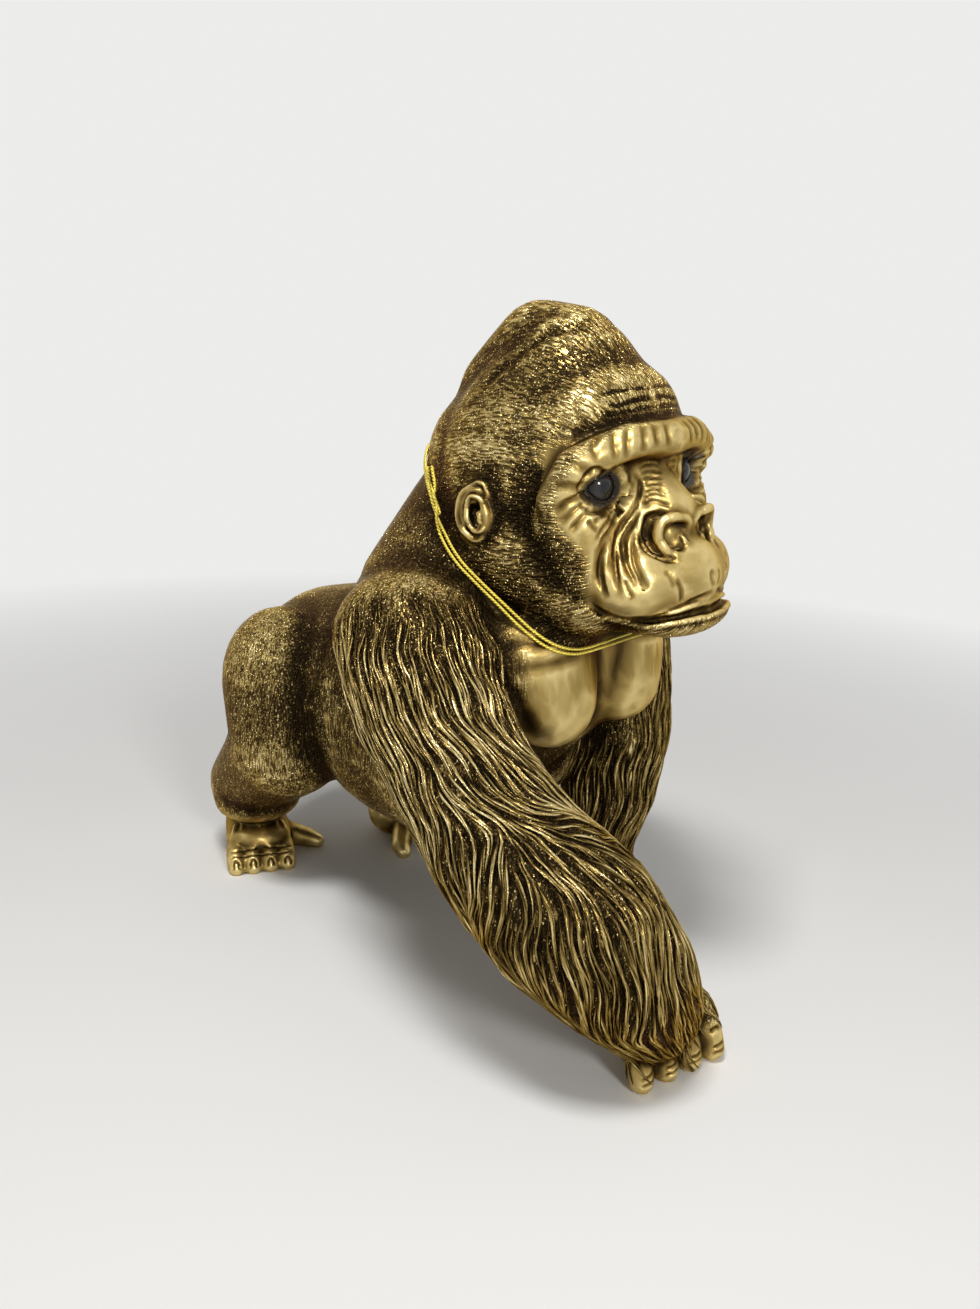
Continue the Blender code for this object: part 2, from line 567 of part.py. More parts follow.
def neck_thread(body):
    """The tag's thread: a tail, two turns drawn tight round the neck, a curl at the knot and the other tail."""
    faces = [tuple(face.vertices) for face in body.data.polygons]
    tree = BVHTree.FromPolygons([tuple(vertex.co) for vertex in body.data.vertices], faces)
    centre = Vector(LOOP_CENTRE) * MM
    across = Vector((1, 0, 0))
    along = Vector((0, 1, LOOP_FALL)).normalized()
    rise = across.cross(along)
    clearance = (THREAD_RADIUS + THREAD_GAP) * MM
    points = []
    for turn in range(2):
        outline = []
        for step in range(240):
            bearing = math.tau * step / 240
            ray = across * math.cos(bearing) + along * math.sin(bearing)
            reach = 0
            for lift in (-1, -0.5, 0, 0.5, 1):
                origin = centre + rise * (turn + lift) * TURN_SPACING * MM
                reach = max(reach, (tree.ray_cast(origin, ray)[0] - origin).length)
            outline.append(((reach + clearance) * math.cos(bearing), (reach + clearance) * math.sin(bearing)))
        outline = hull(outline)
        for step in range(LOOP_POINTS):
            share = step / LOOP_POINTS
            bearing = math.radians(KNOT_BEARING) + math.tau * share
            ray = across * math.cos(bearing) + along * math.sin(bearing)
            lift = rise * TURN_SPACING * (turn + share - 0.5) * MM
            points.append(centre + lift + ray * (outline_reach(outline, bearing) + 0.1 * MM))
    knot = points[0]
    out = (knot - centre).normalized()
    first = [knot + (out * x + rise * y + Vector((0, 0, z))) * MM for x, y, z in FIRST_TAIL]
    last = [points[-1] + (out * x + rise * y + Vector((0, 0, z))) * MM for x, y, z in LAST_TAIL]
    curve = bpy.data.curves.new("tag_thread", "CURVE")
    curve.dimensions = "3D"
    curve.bevel_depth = THREAD_RADIUS * MM
    curve.bevel_resolution = 2
    curve.use_fill_caps = True
    route = first + points + last
    spline = curve.splines.new("POLY")
    spline.points.add(len(route) - 1)
    for point, place in zip(spline.points, route):
        point.co = (*place, 1)
    obj = bpy.data.objects.new("tag_thread", curve)
    bpy.context.scene.collection.objects.link(obj)
    bpy.context.view_layer.update()
    data = evaluated(obj)
    bpy.data.objects.remove(obj)
    thread = bpy.data.objects.new("tag_thread", data)
    bpy.context.scene.collection.objects.link(thread)
    mesh = bmesh.new()
    mesh.from_mesh(data)
    bmesh.ops.remove_doubles(mesh, verts=mesh.verts, dist=0.00001)
    mesh.to_mesh(data)
    mesh.free()
    return thread


def material(name, colour, metallic, roughness):
    made = bpy.data.materials.new(name)
    made.use_nodes = True
    shader = made.node_tree.nodes["Principled BSDF"]
    shader.inputs["Base Color"].default_value = (*colour, 1)
    shader.inputs["Metallic"].default_value = metallic
    shader.inputs["Roughness"].default_value = roughness
    return made


def main():
    for obj in list(bpy.data.objects):
        bpy.data.objects.remove(obj)
    forms = torso() + right_arm() + left_arm() + head()
    forms += hind_leg(-1, 92, 84, (-25, 122)) + hind_leg(1, 84, 72, (40, 86))
    body = remeshed("form", forms, FORM_VOXEL, FORM_SMOOTHING)
    detail = [body] + face() + ears()
    detail += foot(-1, (-23, 126), -32) + foot(1, (43, 86), 30)
    detail += fist((-24.5, -108.5), -16) + fist((49, -28), -4)
    body = remeshed("body_casting", detail, DETAIL_VOXEL, DETAIL_SMOOTHING)
    clay = Clay(body)
    carve_face(clay, FACE_HOLLOWS)
    for width, rise, ends, path in CHEST_GROOVES:
        clay.stroke(clay.laid(BODY_FRAME, path), width, rise, ends)
    clay.apply()
    clay = Clay(body)
    carve_face(clay, FACE_GROOVES)
    comb_locks(clay, RIGHT_HAIR, 3)
    comb_locks(clay, LEFT_HAIR, 4)
    clay.apply()
    clay = Clay(body)
    carve_face(clay, FACE_RIDGES)
    clay.apply()
    thin_out(body)
    floor = Matrix.Translation((0, 0, -0.05)) @ Matrix.Diagonal((0.5, 0.5, 0.1, 1))
    cutters = [shape("floor_cutter", lambda mesh: bmesh.ops.create_cube(mesh, size=1, matrix=floor))]
    eyes = []
    for side, name in ((-1, "right"), (1, "left")):
        centre = (side * EYE_CENTRE[0], EYE_CENTRE[1], EYE_CENTRE[2])
        eyes.append(ball("eye_" + name, HEAD_FRAME, centre, EYE_RADIUS, 24, 12))
        cutters.append(ball("socket_cutter_" + name, HEAD_FRAME, centre, EYE_RADIUS + SOCKET_CLEARANCE, 24, 12))
        cutters.append(lid_opening("lid_cutter_" + name, side, centre))
    for cutter in cutters:
        cut(body, cutter)
    thread = neck_thread(body)
    pieces = [body, *eyes, thread]
    box = np.array([vertex.co for vertex in body.data.vertices])
    middle = (box.min(axis=0) + box.max(axis=0)) / 2
    for obj in pieces + cutters:
        obj.data.transform(Matrix.Translation((-middle[0], -middle[1], 0)))
    finishes = (
        material("bronzed_resin", (0.45, 0.30, 0.10), 0.6, 0.4),
        material("gloss_black_right", (0.015, 0.015, 0.017), 0, 0.08),
        material("gloss_black_left", (0.015, 0.015, 0.017), 0, 0.08),
        material("gold_thread", (0.85, 0.62, 0.10), 0.3, 0.4),
    )
    figurine = bpy.data.collections.new("gorilla_figurine")
    cutting = bpy.data.collections.new("cutters")
    bpy.context.scene.collection.children.link(figurine)
    bpy.context.scene.collection.children.link(cutting)
    for obj, finish in zip(pieces, finishes):
        obj.data.materials.clear()
        obj.data.materials.append(finish)
        figurine.objects.link(obj)
        bpy.context.scene.collection.objects.unlink(obj)
        for polygon in obj.data.polygons:
            polygon.use_smooth = True
        obj.data.set_sharp_from_angle(angle=math.radians(50))
    for cutter in cutters:
        cutting.objects.link(cutter)
        bpy.context.scene.collection.objects.unlink(cutter)


main()
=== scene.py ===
"""A walking gorilla figurine in bronzed resin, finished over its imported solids.

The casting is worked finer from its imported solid: the creases of the face, the lie of the coat, the
fingers and toes. The long locks of the arms, the eyes and the twisted thread are pieces of their own.
Sizes in tables are millimetres.
"""

import math

import bmesh
import bpy
import numpy as np
from mathutils import Euler, Matrix, Vector
from mathutils.bvhtree import BVHTree


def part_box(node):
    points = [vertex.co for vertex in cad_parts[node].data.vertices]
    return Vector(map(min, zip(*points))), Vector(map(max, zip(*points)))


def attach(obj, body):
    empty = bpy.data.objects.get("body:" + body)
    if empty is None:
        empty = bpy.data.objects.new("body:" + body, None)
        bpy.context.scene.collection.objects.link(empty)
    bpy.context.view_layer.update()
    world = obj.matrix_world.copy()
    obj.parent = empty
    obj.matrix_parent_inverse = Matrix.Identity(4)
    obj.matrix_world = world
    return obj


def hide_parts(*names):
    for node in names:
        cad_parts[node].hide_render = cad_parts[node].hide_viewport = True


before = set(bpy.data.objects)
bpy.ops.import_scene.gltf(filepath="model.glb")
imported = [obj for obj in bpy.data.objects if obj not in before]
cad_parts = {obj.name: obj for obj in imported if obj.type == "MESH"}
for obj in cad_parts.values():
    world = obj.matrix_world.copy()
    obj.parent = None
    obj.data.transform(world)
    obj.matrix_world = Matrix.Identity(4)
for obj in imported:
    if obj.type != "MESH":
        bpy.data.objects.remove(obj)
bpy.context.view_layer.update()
MM = 0.001

# The head's own frame, whose origin lies between the ears. It is found from the two eyes, and so is
# the place of the whole casting, because the sculptor's tables were noted before it was centred.
HEAD_TURN = Euler([math.radians(degrees) for degrees in (0, -4.5, -3)], "XYZ").to_matrix()
EYE_CENTRE = Vector((22.4, -33, 7.3)) * MM
EYE_RADIUS = 6.3
NOTED_HEAD = Vector((0, -30, 190)) * MM
eye_boxes = [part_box("eye_right"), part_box("eye_left")]
eye_places = [(Vector(low) + Vector(high)) / 2 for low, high in eye_boxes]
head_origin = (eye_places[0] + eye_places[1]) / 2 - HEAD_TURN @ Vector((0, EYE_CENTRE.y, EYE_CENTRE.z))
HEAD_FRAME = Matrix.Translation(head_origin) @ HEAD_TURN.to_4x4()
NOTED_FRAME = Matrix.Translation(head_origin - NOTED_HEAD)


# The casting: resin, with every crease and lock cast in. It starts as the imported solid, is given even
# faces and softened, and is then creased along the sculptor's lines.
FORM_VOXEL = 0.95 * MM
COAT_SOFTENING = 24
SHOULDER_SOFTENING = 50
FACE_FRONT = -24
RINGED_REACH = 10.5 * MM
CASTING_TRIANGLES = 186000

# The edge of the bare face on its right side, from the middle of the brow down to the lower lip
FACE_EDGE = (
    (0, -40, 28), (-10, -41, 27.5), (-21.1, -41.3, 26.4), (-24.1, -36, 25.1), (-28.6, -31.7, 23.8),
    (-37.6, -32.3, 19.8), (-41.3, -31.2, 13.9), (-42.7, -31.4, 5.9), (-41.3, -31.8, -1.8),
    (-39.1, -35.5, -7.5), (-36.2, -39.4, -12.2), (-35.4, -40.3, -15.6), (-35.5, -39.9, -20.3),
    (-34.7, -39, -25.7), (-33.4, -39.1, -29.6), (-28, -44, -34.4), (-21.4, -55.7, -36), (-15.6, -62.6, -35),
    (-5.9, -66.9, -34.6), (0, -67, -34.6),
)

# Creases on the right side of the face: reach, rise, share faded at each end, points. The left side
# mirrors them.
EYE_CREASES = (
    (1.5, -0.8, 0.25, (
        (-34.6, -37.1, 5.4), (-34.4, -38.3, 3.3), (-32.2, -39.9, 1.8), (-26, -39.1, 0.6),
        (-20, -38.5, 0.8), (-17.4, -39.1, 2.5))),
    (1.4, -0.6, 0.25, (
        (-34.7, -38, 3.7), (-33.7, -39.5, 1.7), (-30.2, -40.6, 0.5), (-22.4, -38.6, -0.5),
        (-18.4, -38.7, 0.6))),
    (1.6, -0.9, 0.25, (
        (-34.5, -36.8, 6.2), (-36.7, -39.5, 10.7), (-35.3, -41.1, 13.4), (-32.2, -42.4, 14.6),
        (-18.9, -36.7, 12.2), (-16.4, -38.3, 9.4))),
    (1.4, -0.6, 0.3, ((-32.6, -41.2, -3.3), (-30.3, -41.3, -1), (-23.3, -38.8, -0.5))),
    (1.4, -0.5, 0.3, ((-34.6, -39.6, -0.6), (-33.5, -40.5, -2.4), (-31.1, -42.1, -5.2))),
    (1.4, -0.45, 0.3, ((-11.3, -42.3, 13.7), (-9.6, -43.5, 14.7), (-5.9, -43.9, 14.8), (-0.8, -43.7, 13.7))),
    (1.4, -0.45, 0.3, ((-11.1, -42.2, 12), (-8.2, -42.9, 12.8), (-4.6, -43.6, 12.9), (-1.5, -44.3, 12))),
    (1.4, -0.45, 0.3, ((-10.9, -42.4, 10.3), (-7.8, -43.2, 11), (-4.4, -44.2, 11), (-2.5, -45.6, 10.3))),
    (1.4, -0.45, 0.3, ((-10.5, -42.7, 8.6), (-7.5, -43.6, 9.1), (-5.2, -45.3, 9.2), (-3.8, -47.1, 8.4))),
    (1.4, -0.45, 0.3, ((-9.9, -43.2, 6.8), (-7.8, -44.7, 7.3), (-5.8, -46.7, 7.4), (-4.7, -48.7, 6.4))),
    (1.4, -0.45, 0.3, ((-10.9, -43.7, 5), (-8.4, -45.5, 5.7), (-6.6, -47.8, 5.6), (-5.7, -50, 4.4))),
    (1.4, -0.45, 0.3, ((-11.9, -44.2, 3.4), (-9.2, -46.1, 4), (-7.6, -48.8, 3.8), (-6.8, -51.3, 2.4))),
    (1.5, -0.52, 0.3, ((-13, -44.8, 1.8), (-9.9, -46.7, 2.3), (-8.5, -49.6, 2), (-7.3, -52.6, 0.3))),
)
CHEEK_CREASES = (
    (1.7, -0.6, 0.25, (
        (-12.9, -40.7, 11.2), (-14.7, -39.9, 8.4), (-15.6, -39.9, 4.9), (-16.5, -39.3, 0.4),
        (-20.1, -39.2, -3.2), (-29.4, -42.8, -7.2), (-31, -41.8, -11.4))),
    (1.7, -1.2, 0.2, (
        (-12.5, -41.1, 11.3), (-10.5, -42.7, 7.7), (-12.4, -43.7, 3.7), (-15.9, -43.3, -1.1),
        (-19.1, -41.9, -5.4), (-22.9, -42.9, -9.2), (-26.6, -45.2, -14.2), (-29.4, -48.3, -19.2),
        (-30.2, -50.4, -24.2))),
    (1.9, -1.3, 0.25, (
        (-14.4, -45, -0.2), (-16.9, -44.7, -4.2), (-19.8, -43.9, -7.5), (-21.7, -44.6, -11.5),
        (-25.5, -49, -15.7), (-26.7, -53, -19.8), (-26.7, -54.1, -21.9))),
    (1.9, -1.3, 0.25, (
        (-18.3, -47.5, -6.6), (-20.6, -47.7, -10.3), (-23.9, -50.7, -14.8), (-25, -54, -18.6),
        (-24.7, -56.8, -23))),
    (1.7, -1.1, 0.25, (
        (-27.6, -43.1, -9.3), (-30.1, -42.9, -12.6), (-31, -42.8, -17), (-31.7, -44.3, -21.7),
        (-32.1, -46.7, -26))),
    (1.5, -0.7, 0.3, ((-17, -39.1, 1.3), (-24.2, -40.6, -2), (-30, -42.3, -4.9), (-32.4, -42, -8.2))),
    (1.5, -0.8, 0.3, ((-28.8, -50.6, -18.9), (-29.5, -52.3, -22.1), (-28.2, -53.9, -25.8))),
    (1.5, -0.52, 0.3, ((-15.4, -60.9, -20.6), (-13.9, -61.9, -23.2), (-12.5, -61.8, -28.2))),
    (1.5, -0.33, 0.3, ((-1.5, -66.2, -18.9), (-2.5, -66.4, -21.5), (-1.1, -66.6, -25))),
    (1.5, -0.33, 0.3, ((-18.3, -58.5, -17.8), (-16.9, -60, -19.7), (-15.8, -61, -23))),
    (1.5, -0.9, 0.15, (
        (-33, -40.5, -28.1), (-29.8, -42.2, -31.4), (-26.8, -46.3, -33.4), (-22.8, -51.2, -34.3),
        (-19.7, -57.1, -32.4), (-14.1, -61.4, -30.5), (-7, -64.1, -28.3), (-0.7, -66.4, -26.2))),
    (1.9, -1.7, 0.15, (
        (-32.4, -40.5, -29.4), (-28.9, -43.3, -33), (-24.7, -48.7, -35.1), (-20.6, -55.2, -34.7),
        (-15.7, -60.4, -33.5), (-6.1, -64.3, -33), (7.2, -66.3, -33.6))),
)
NOSE_HOLLOWS = (
    (3, -2.2, 0.15, (
        (-10.4, -54.4, -0.4), (-11, -50.9, -0.9), (-13.1, -48.5, -2.3), (-14.1, -47.9, -5.9),
        (-15.2, -49.4, -9.2), (-16.2, -52.2, -11.6), (-15.4, -56, -13), (-11.5, -58.5, -14.1))),
)
FACE_RIDGES = (
    (3.2, 0.9, 0.4, ((-18.5, -40, 0), (-20.5, -40.2, -1.4), (-23, -40.4, -2))),
    (2.6, 1.0, 0.3, ((-4.8, -57.8, -8.6), (-6, -57.5, -8.9), (-6.8, -57.2, -9.2))),
    (2.2, 1.3, 0.2, (
        (-0.3, -56.7, -6.5), (-3.4, -56.1, -3.3), (-10.4, -56.3, -1.8), (-13.9, -54.5, -2.6),
        (-15.4, -53.9, -5.8), (-14.3, -54, -9.6), (-13.9, -56.6, -12.1), (-11.2, -58.6, -14))),
    (1.2, 0.8, 0.25, (
        (-7.7, -53.2, -0.2), (-9.7, -49.4, -0.2), (-13.5, -47.1, -1.2), (-16, -47.4, -5.2),
        (-15.7, -47.9, -9.8), (-16.5, -51.1, -12.8), (-15.3, -54.9, -14.6), (-11.3, -59, -14.7))),
    (1.5, 0.6, 0.25, (
        (-22.2, -51.8, -33.6), (-18.9, -58.2, -31.9), (-13.3, -61.9, -30.6), (-5.8, -64.5, -29.6))),
    (1.5, 0.6, 0.25, (
        (-24.1, -45.5, -36.6), (-21.4, -55.7, -35.9), (-15.6, -62.6, -34.4), (-5.9, -66.9, -33.9),
        (6.1, -67, -34.7))),
)

# The ears, the soft folds of the brow and the wrinkles over it, all in the head's frame and mirrored
EAR_HOLLOWS = (
    (1.3, -1.3, 0.1, (
        (-44, -4.8, 2.5), (-44.2, -3.3, 4.4), (-45.2, -1.2, 5.3), (-45.9, 1.4, 4), (-46.9, 2.4, 1.1),
        (-47.5, 2.5, -2.6), (-47.7, 1.3, -5.5), (-47, -0.3, -7.8), (-46.7, -2.7, -8.9))),
    (2.0, -2.2, 0.1, (
        (-45.9, -4.1, 1), (-45.1, -1.4, -0.3), (-46.1, -1, -2.6), (-46, -1.5, -5.2), (-46.8, -3.4, -6.2))),
)
EAR_RIDGES = (
    (1.3, 1.3, 0.1, (
        (-42.5, -5, 2.7), (-42.2, -4, 5.4), (-42.4, -2.5, 7.6), (-43.4, 0.5, 7.8), (-45, 4.0, 5.6),
        (-46, 5, 3.4), (-46.5, 5.4, -0.4), (-46.9, 5.2, -3.8), (-47.1, 3.6, -6.8), (-47.4, 0.9, -8.9),
        (-46.7, -1.5, -10.6), (-46.2, -4, -10.4), (-45.7, -5.7, -8.6))),
    (1.1, 1.1, 0.1, (
        (-45.1, -5.4, 1.6), (-45.6, -3.3, 3.3), (-45.9, -0.4, 3.4), (-46.8, 0.8, 1.7), (-47, 1.1, -1.4),
        (-47.1, 0.4, -4.8), (-46.5, -1.2, -7.1), (-46.6, -4.5, -7.5), (-45.9, -6.3, -5.6))),
    (0.9, 0.8, 0.3, ((-46.2, -4.3, -1.2), (-46.5, -4.3, -3.5), (-46.6, -5.1, -5.3))),
)
BROW_SOFT_FOLDS = (
    (2.2, -0.7, 0.4, ((-26.7, -38, 25), (-32.5, -40.2, 21.6), (-32.7, -42.4, 17))),
    (2.2, -0.7, 0.4, ((-24, -41.6, 26), (-26.8, -44, 21.9), (-26.9, -44.9, 17))),
    (2, -0.7, 0.4, ((-19, -43.5, 26.5), (-22.4, -45.7, 22.9), (-23.3, -45.9, 17))),
    (2, -0.6, 0.4, ((-14.2, -45.7, 27), (-16.5, -47.8, 23.7), (-17, -48.2, 18.5))),
    (2, -0.6, 0.4, ((-9.1, -46.7, 27), (-11.3, -48.7, 24.5), (-11.7, -49.5, 19.5))),
    (1.8, -0.6, 0.4, ((-4.6, -47.7, 27), (-6.3, -49.7, 24.5), (-6.4, -50, 19.5))),
    (2.8, -1.0, 0.3, ((-42, -34, 20), (-39, -39.6, 16.2), (-33.5, -40.8, 13.2))),
    (2.6, -0.9, 0.3, ((-42.6, -32.6, 10.2), (-40.5, -36.6, 9.8), (-33, -38.4, 9))),
    (2.4, -0.9, 0.3, ((-42, -32.5, 1.6), (-38.9, -35.8, 4.4), (-32.6, -37.6, 7))),
    (2.1, -0.8, 0.3, ((-40.4, -33.8, -1.9), (-37.3, -36.5, 1.4), (-32.2, -38.4, 4.8))),
    (2.1, -0.8, 0.3, ((-38.4, -36.3, -5), (-36.3, -38.1, -1.4), (-31.4, -39.4, 2.4))),
)
BROW_LINES = (
    (1.3, -0.5, 0.3, ((-21, -32.6, 35.6), (-15.1, -35.3, 36.7), (-7.1, -37.7, 37.4), (0.4, -38.4, 37.4))),
    (1.4, -0.6, 0.3, ((-19.6, -35.5, 32.7), (-14.7, -37.9, 32.7), (-7.5, -39.2, 33.8), (0.6, -40.1, 33.9))),
    (1.3, -0.4, 0.3, ((-22.7, -34.6, 29.9), (-15.4, -38.4, 30.4), (-6.8, -40.5, 31.1), (1.8, -41, 31))),
)
# The step along the crest of the skull: a low furrow with a raised band above it
CREST_LINE = (
    (-33, 14, 27), (-29.5, 9, 36), (-26.3, 6, 42.7), (-23.3, 1.1, 45.9), (-19.9, -3.4, 49.9),
    (-16.1, -7.5, 53.3), (-13.2, -12.3, 55.2), (-9.2, -16, 56.2), (-5.1, -19, 56),
)

# The feet and the fists, each in a frame of its own: its place and turn, and the places of its digits
FEET = (((-23, 126, -1.2), -32), ((43, 86, -1.2), 30))
FISTS = (((-24.5, -108.5, -1.2), -16), ((49, -28, -1.2), -4))
TOES = (-11.4, -3.8, 3.8, 11.4)
FINGERS = (-16.5, -5.5, 5.5, 16.5)

# The fold under the collar on both sides of the breast
COLLAR_RIDGES = (
    (3.4, 0.5, 0.3, (
        (-47.7, -46.4, 136.2), (-43.8, -50.1, 139.1), (-37.7, -54.8, 139.6), (-30.3, -57.7, 141),
        (-22, -59, 143.4))),
    (3.4, 0.5, 0.3, ((42, -46.4, 138.2), (34, -52, 140.1), (24, -56, 142), (12, -57.7, 143))),
)
COLLAR_HOLLOWS = (
    (3, -0.7, 0.3, ((-47.3, -44, 141.3), (-43.6, -48.9, 143.6), (-37.5, -53.5, 144.2), (-30, -57, 146.4))),
    (3.6, -0.4, 0.3, (
        (-46.6, -48.2, 132.3), (-40.6, -53.8, 134.8), (-30.6, -58.1, 136.5), (-20.4, -58.9, 137.8))),
    (3.4, -0.4, 0.3, ((42, -46.4, 133.2), (34, -52, 135.1), (24, -56, 136.5), (12, -57.7, 138))),
)


def digit_lines(digits, spread, joints, lean):
    """Creases across each digit at its joints: reach, rise, fade and points."""
    lines = []
    for across in digits:
        for reach, rise, front, height in joints:
            path = [(across * spread + step, front, height + lean * step) for step in (-5, -2, 2, 5)]
            lines.append((reach, rise, 0.3, tuple(path)))
    return tuple(lines)


TOE_LINES = digit_lines(TOES, 1.03, ((0.9, -0.5, -22, 12.4), (0.8, -0.5, -24.8, 10.6)), 0)
NAIL = ((-2.1, -29.5, 5), (-2, -28, 8.2), (0, -27.4, 9.2), (2, -28, 8.2), (2.1, -29.5, 5))
TOE_LINES += tuple(
    (0.9, -0.7, 0.2, tuple((across * 1.05 + x, y, z) for x, y, z in NAIL)) for across in TOES
)
TENDONS = tuple(
    (1.5, 1.0, 0.3, ((across * 0.75, 4, 27), (across * 0.9, -6, 24), (across, -13, 15)))
    for across in (-13, -7.6, 0, 7.6, 13)
)
FINGER_JOINTS = ((1.2, -0.7, -8, 15.5), (1.1, -0.6, -9, 8.9), (1.0, -0.5, -9, 6.4))
FINGER_LINES = digit_lines(FINGERS, 1, FINGER_JOINTS, 0.1)

# Guides for the lie of the hair on both arms. The casting gets painted shade under the locks, and the locks
# themselves follow them.
RIGHT_HAIR = (
    ((-80.6, -12.9, 154), (-85.8, -16, 141), (-89.3, -22.5, 129.5), (-91, -33.4, 117.7), (-91, -50, 98)),
    ((-78, -20.6, 156), (-84, -27, 144), (-88, -35, 132), (-89, -45, 122), (-88, -56, 114), (-85, -66, 106)),
    ((-72, -27, 158), (-78, -35, 147), (-82.6, -43, 136), (-83, -52, 126), (-81, -62, 118),
     (-78.6, -69, 112)),
    ((-63.6, -34, 156), (-68, -42, 146), (-71, -50, 137), (-73, -58, 127), (-71, -65, 120),
     (-66, -72, 112.5)),
    ((-50, -35.6, 153), (-53, -43.6, 142), (-59, -52, 134), (-64, -60, 125.6), (-61, -66, 118),
     (-54, -72, 108)),
    ((-86, -43, 130), (-87.5, -51, 120), (-87, -60, 112), (-85.5, -68, 104), (-83, -75, 100)),
    ((-88, -42, 127), (-90, -49, 115), (-91, -54, 103), (-90, -58, 90), (-88, -61, 80)),
    ((-90.6, -56, 102), (-89, -58, 87), (-86, -62, 73), (-80, -68, 58), (-72, -74, 44)),
    ((-83, -75.6, 97.7), (-85, -77, 90.6), (-87, -76, 80.7), (-85, -71, 67.6), (-80, -68.5, 58)),
    ((-83, -77, 95), (-85, -79.5, 85), (-86, -78, 74), (-83, -76, 60.6), (-80, -80, 52)),
    ((-81, -80, 95), (-81, -85, 85), (-81.5, -88, 75), (-82, -88, 64.5), (-79, -88, 51)),
    ((-82, -76, 99), (-79, -83, 94), (-74, -90, 88), (-69.5, -96.5, 80), (-68, -101.5, 72), (-67, -106, 55)),
    ((-80, -80, 97), (-76, -87, 91), (-73.5, -93, 83.5), (-73.6, -96, 76), (-74, -99, 68.5),
     (-74, -100.5, 60), (-71, -102, 49)),
    ((-81, -77, 99), (-74, -85, 96), (-65, -90, 92), (-53, -94, 83), (-47, -99, 74), (-50, -105, 67),
     (-51, -109, 58), (-54.5, -111, 52)),
    ((-71, -83, 100), (-58, -87, 95), (-44, -90, 84), (-36, -96, 70), (-34, -104, 56), (-34, -110, 44)),
    ((-82, -49, 130), (-82, -61, 119), (-78.5, -70.5, 110), (-74, -79, 103), (-64, -85, 98.5)),
    ((-71, -58, 127), (-71, -66, 119), (-68, -72, 113), (-61, -76.5, 107), (-54.5, -79, 100.5)),
    ((-80, -79, 52.6), (-73.6, -84.5, 42), (-64, -92, 32), (-54, -98, 22)),
    ((-73, -100, 67), (-71, -103, 56), (-68, -104, 44), (-62, -105, 32), (-54, -108, 22)),
    ((-62.6, -107, 61), (-60.5, -109.5, 50), (-58, -111, 40), (-57, -110, 32), (-48, -112, 22)),
    ((-50, -112, 49), (-49, -114, 41), (-44, -116, 33), (-36, -118, 24)),
    ((-46, -40, 124), (-46, -58, 100), (-38, -70, 80), (-32, -80, 60), (-24, -92, 42), (-16, -102, 28)),
    ((-70, 12, 142), (-84, 0, 120), (-90, -22, 100), (-84, -42, 80), (-72, -56, 58), (-58, -70, 38)),
    ((-58, -20, 100), (-54, -44, 78), (-46, -62, 56), (-38, -76, 36)),
)
LEFT_HAIR = (
    ((62, -38, 142), (66, -43, 112), (62, -46, 86), (58, -44, 60), (54, -42, 40), (50, -40, 26)),
    ((80, -24, 142), (84, -26, 114), (80, -30, 86), (74, -30, 60), (68, -30, 40), (62, -32, 26)),
    ((76, 4, 140), (80, -4, 112), (76, -8, 86), (70, -10, 58), (62, -12, 36)),
    ((54, 14, 136), (58, 4, 108), (56, 0, 84), (52, -4, 58), (48, -6, 36)),
    ((40, -32, 108), (39, -30, 84), (38, -29, 60), (36, -28, 38)),
)


def outline_distance(x, z):
    """Signed distance in mm from the edge of the bare face, seen from the front; inside it is positive."""
    right = np.array([(px, pz) for px, _, pz in FACE_EDGE])
    loop = np.concatenate([right, (right * (-1, 1))[::-1]])
    distance = np.full(len(x), 1e9)
    inside = np.zeros(len(x), bool)
    for (ax, az), (bx, bz) in zip(loop, np.roll(loop, -1, axis=0)):
        span = max((bx - ax) ** 2 + (bz - az) ** 2, 1e-9)
        share = np.clip(((x - ax) * (bx - ax) + (z - az) * (bz - az)) / span, 0, 1)
        distance = np.minimum(distance, np.hypot(x - ax - share * (bx - ax), z - az - share * (bz - az)))
        crosses = (az > z) != (bz > z)
        meets = (bx - ax) * (z - az) / (bz - az if abs(bz - az) > 1e-9 else 1e-9) + ax
        inside ^= crosses & (x < meets)
    return np.where(inside, distance, -distance)


def read_points(mesh):
    points = np.empty(len(mesh.vertices) * 3, dtype=np.float32)
    mesh.vertices.foreach_get("co", points)
    return points.reshape(-1, 3).astype(float)


def read_normals(mesh):
    normals = np.empty(len(mesh.vertices) * 3, dtype=np.float32)
    mesh.vertices.foreach_get("normal", normals)
    return normals.reshape(-1, 3).astype(float)


def in_frame(matrix, points):
    """Points in millimetres of one frame."""
    turn = np.array(matrix.inverted())
    return (points @ turn[:3, :3].T + turn[:3, 3]) / MM


def from_frame(matrix, places):
    turn = np.array(matrix)
    return np.array(places, float) * MM @ turn[:3, :3].T + turn[:3, 3]


def skin_tree(mesh):
    """A search tree over the mesh's triangles."""
    mesh.calc_loop_triangles()
    corners = np.empty(len(mesh.loop_triangles) * 3, dtype=np.int32)
    mesh.loop_triangles.foreach_get("vertices", corners)
    return BVHTree.FromPolygons(read_points(mesh).tolist(), corners.reshape(-1, 3).tolist())


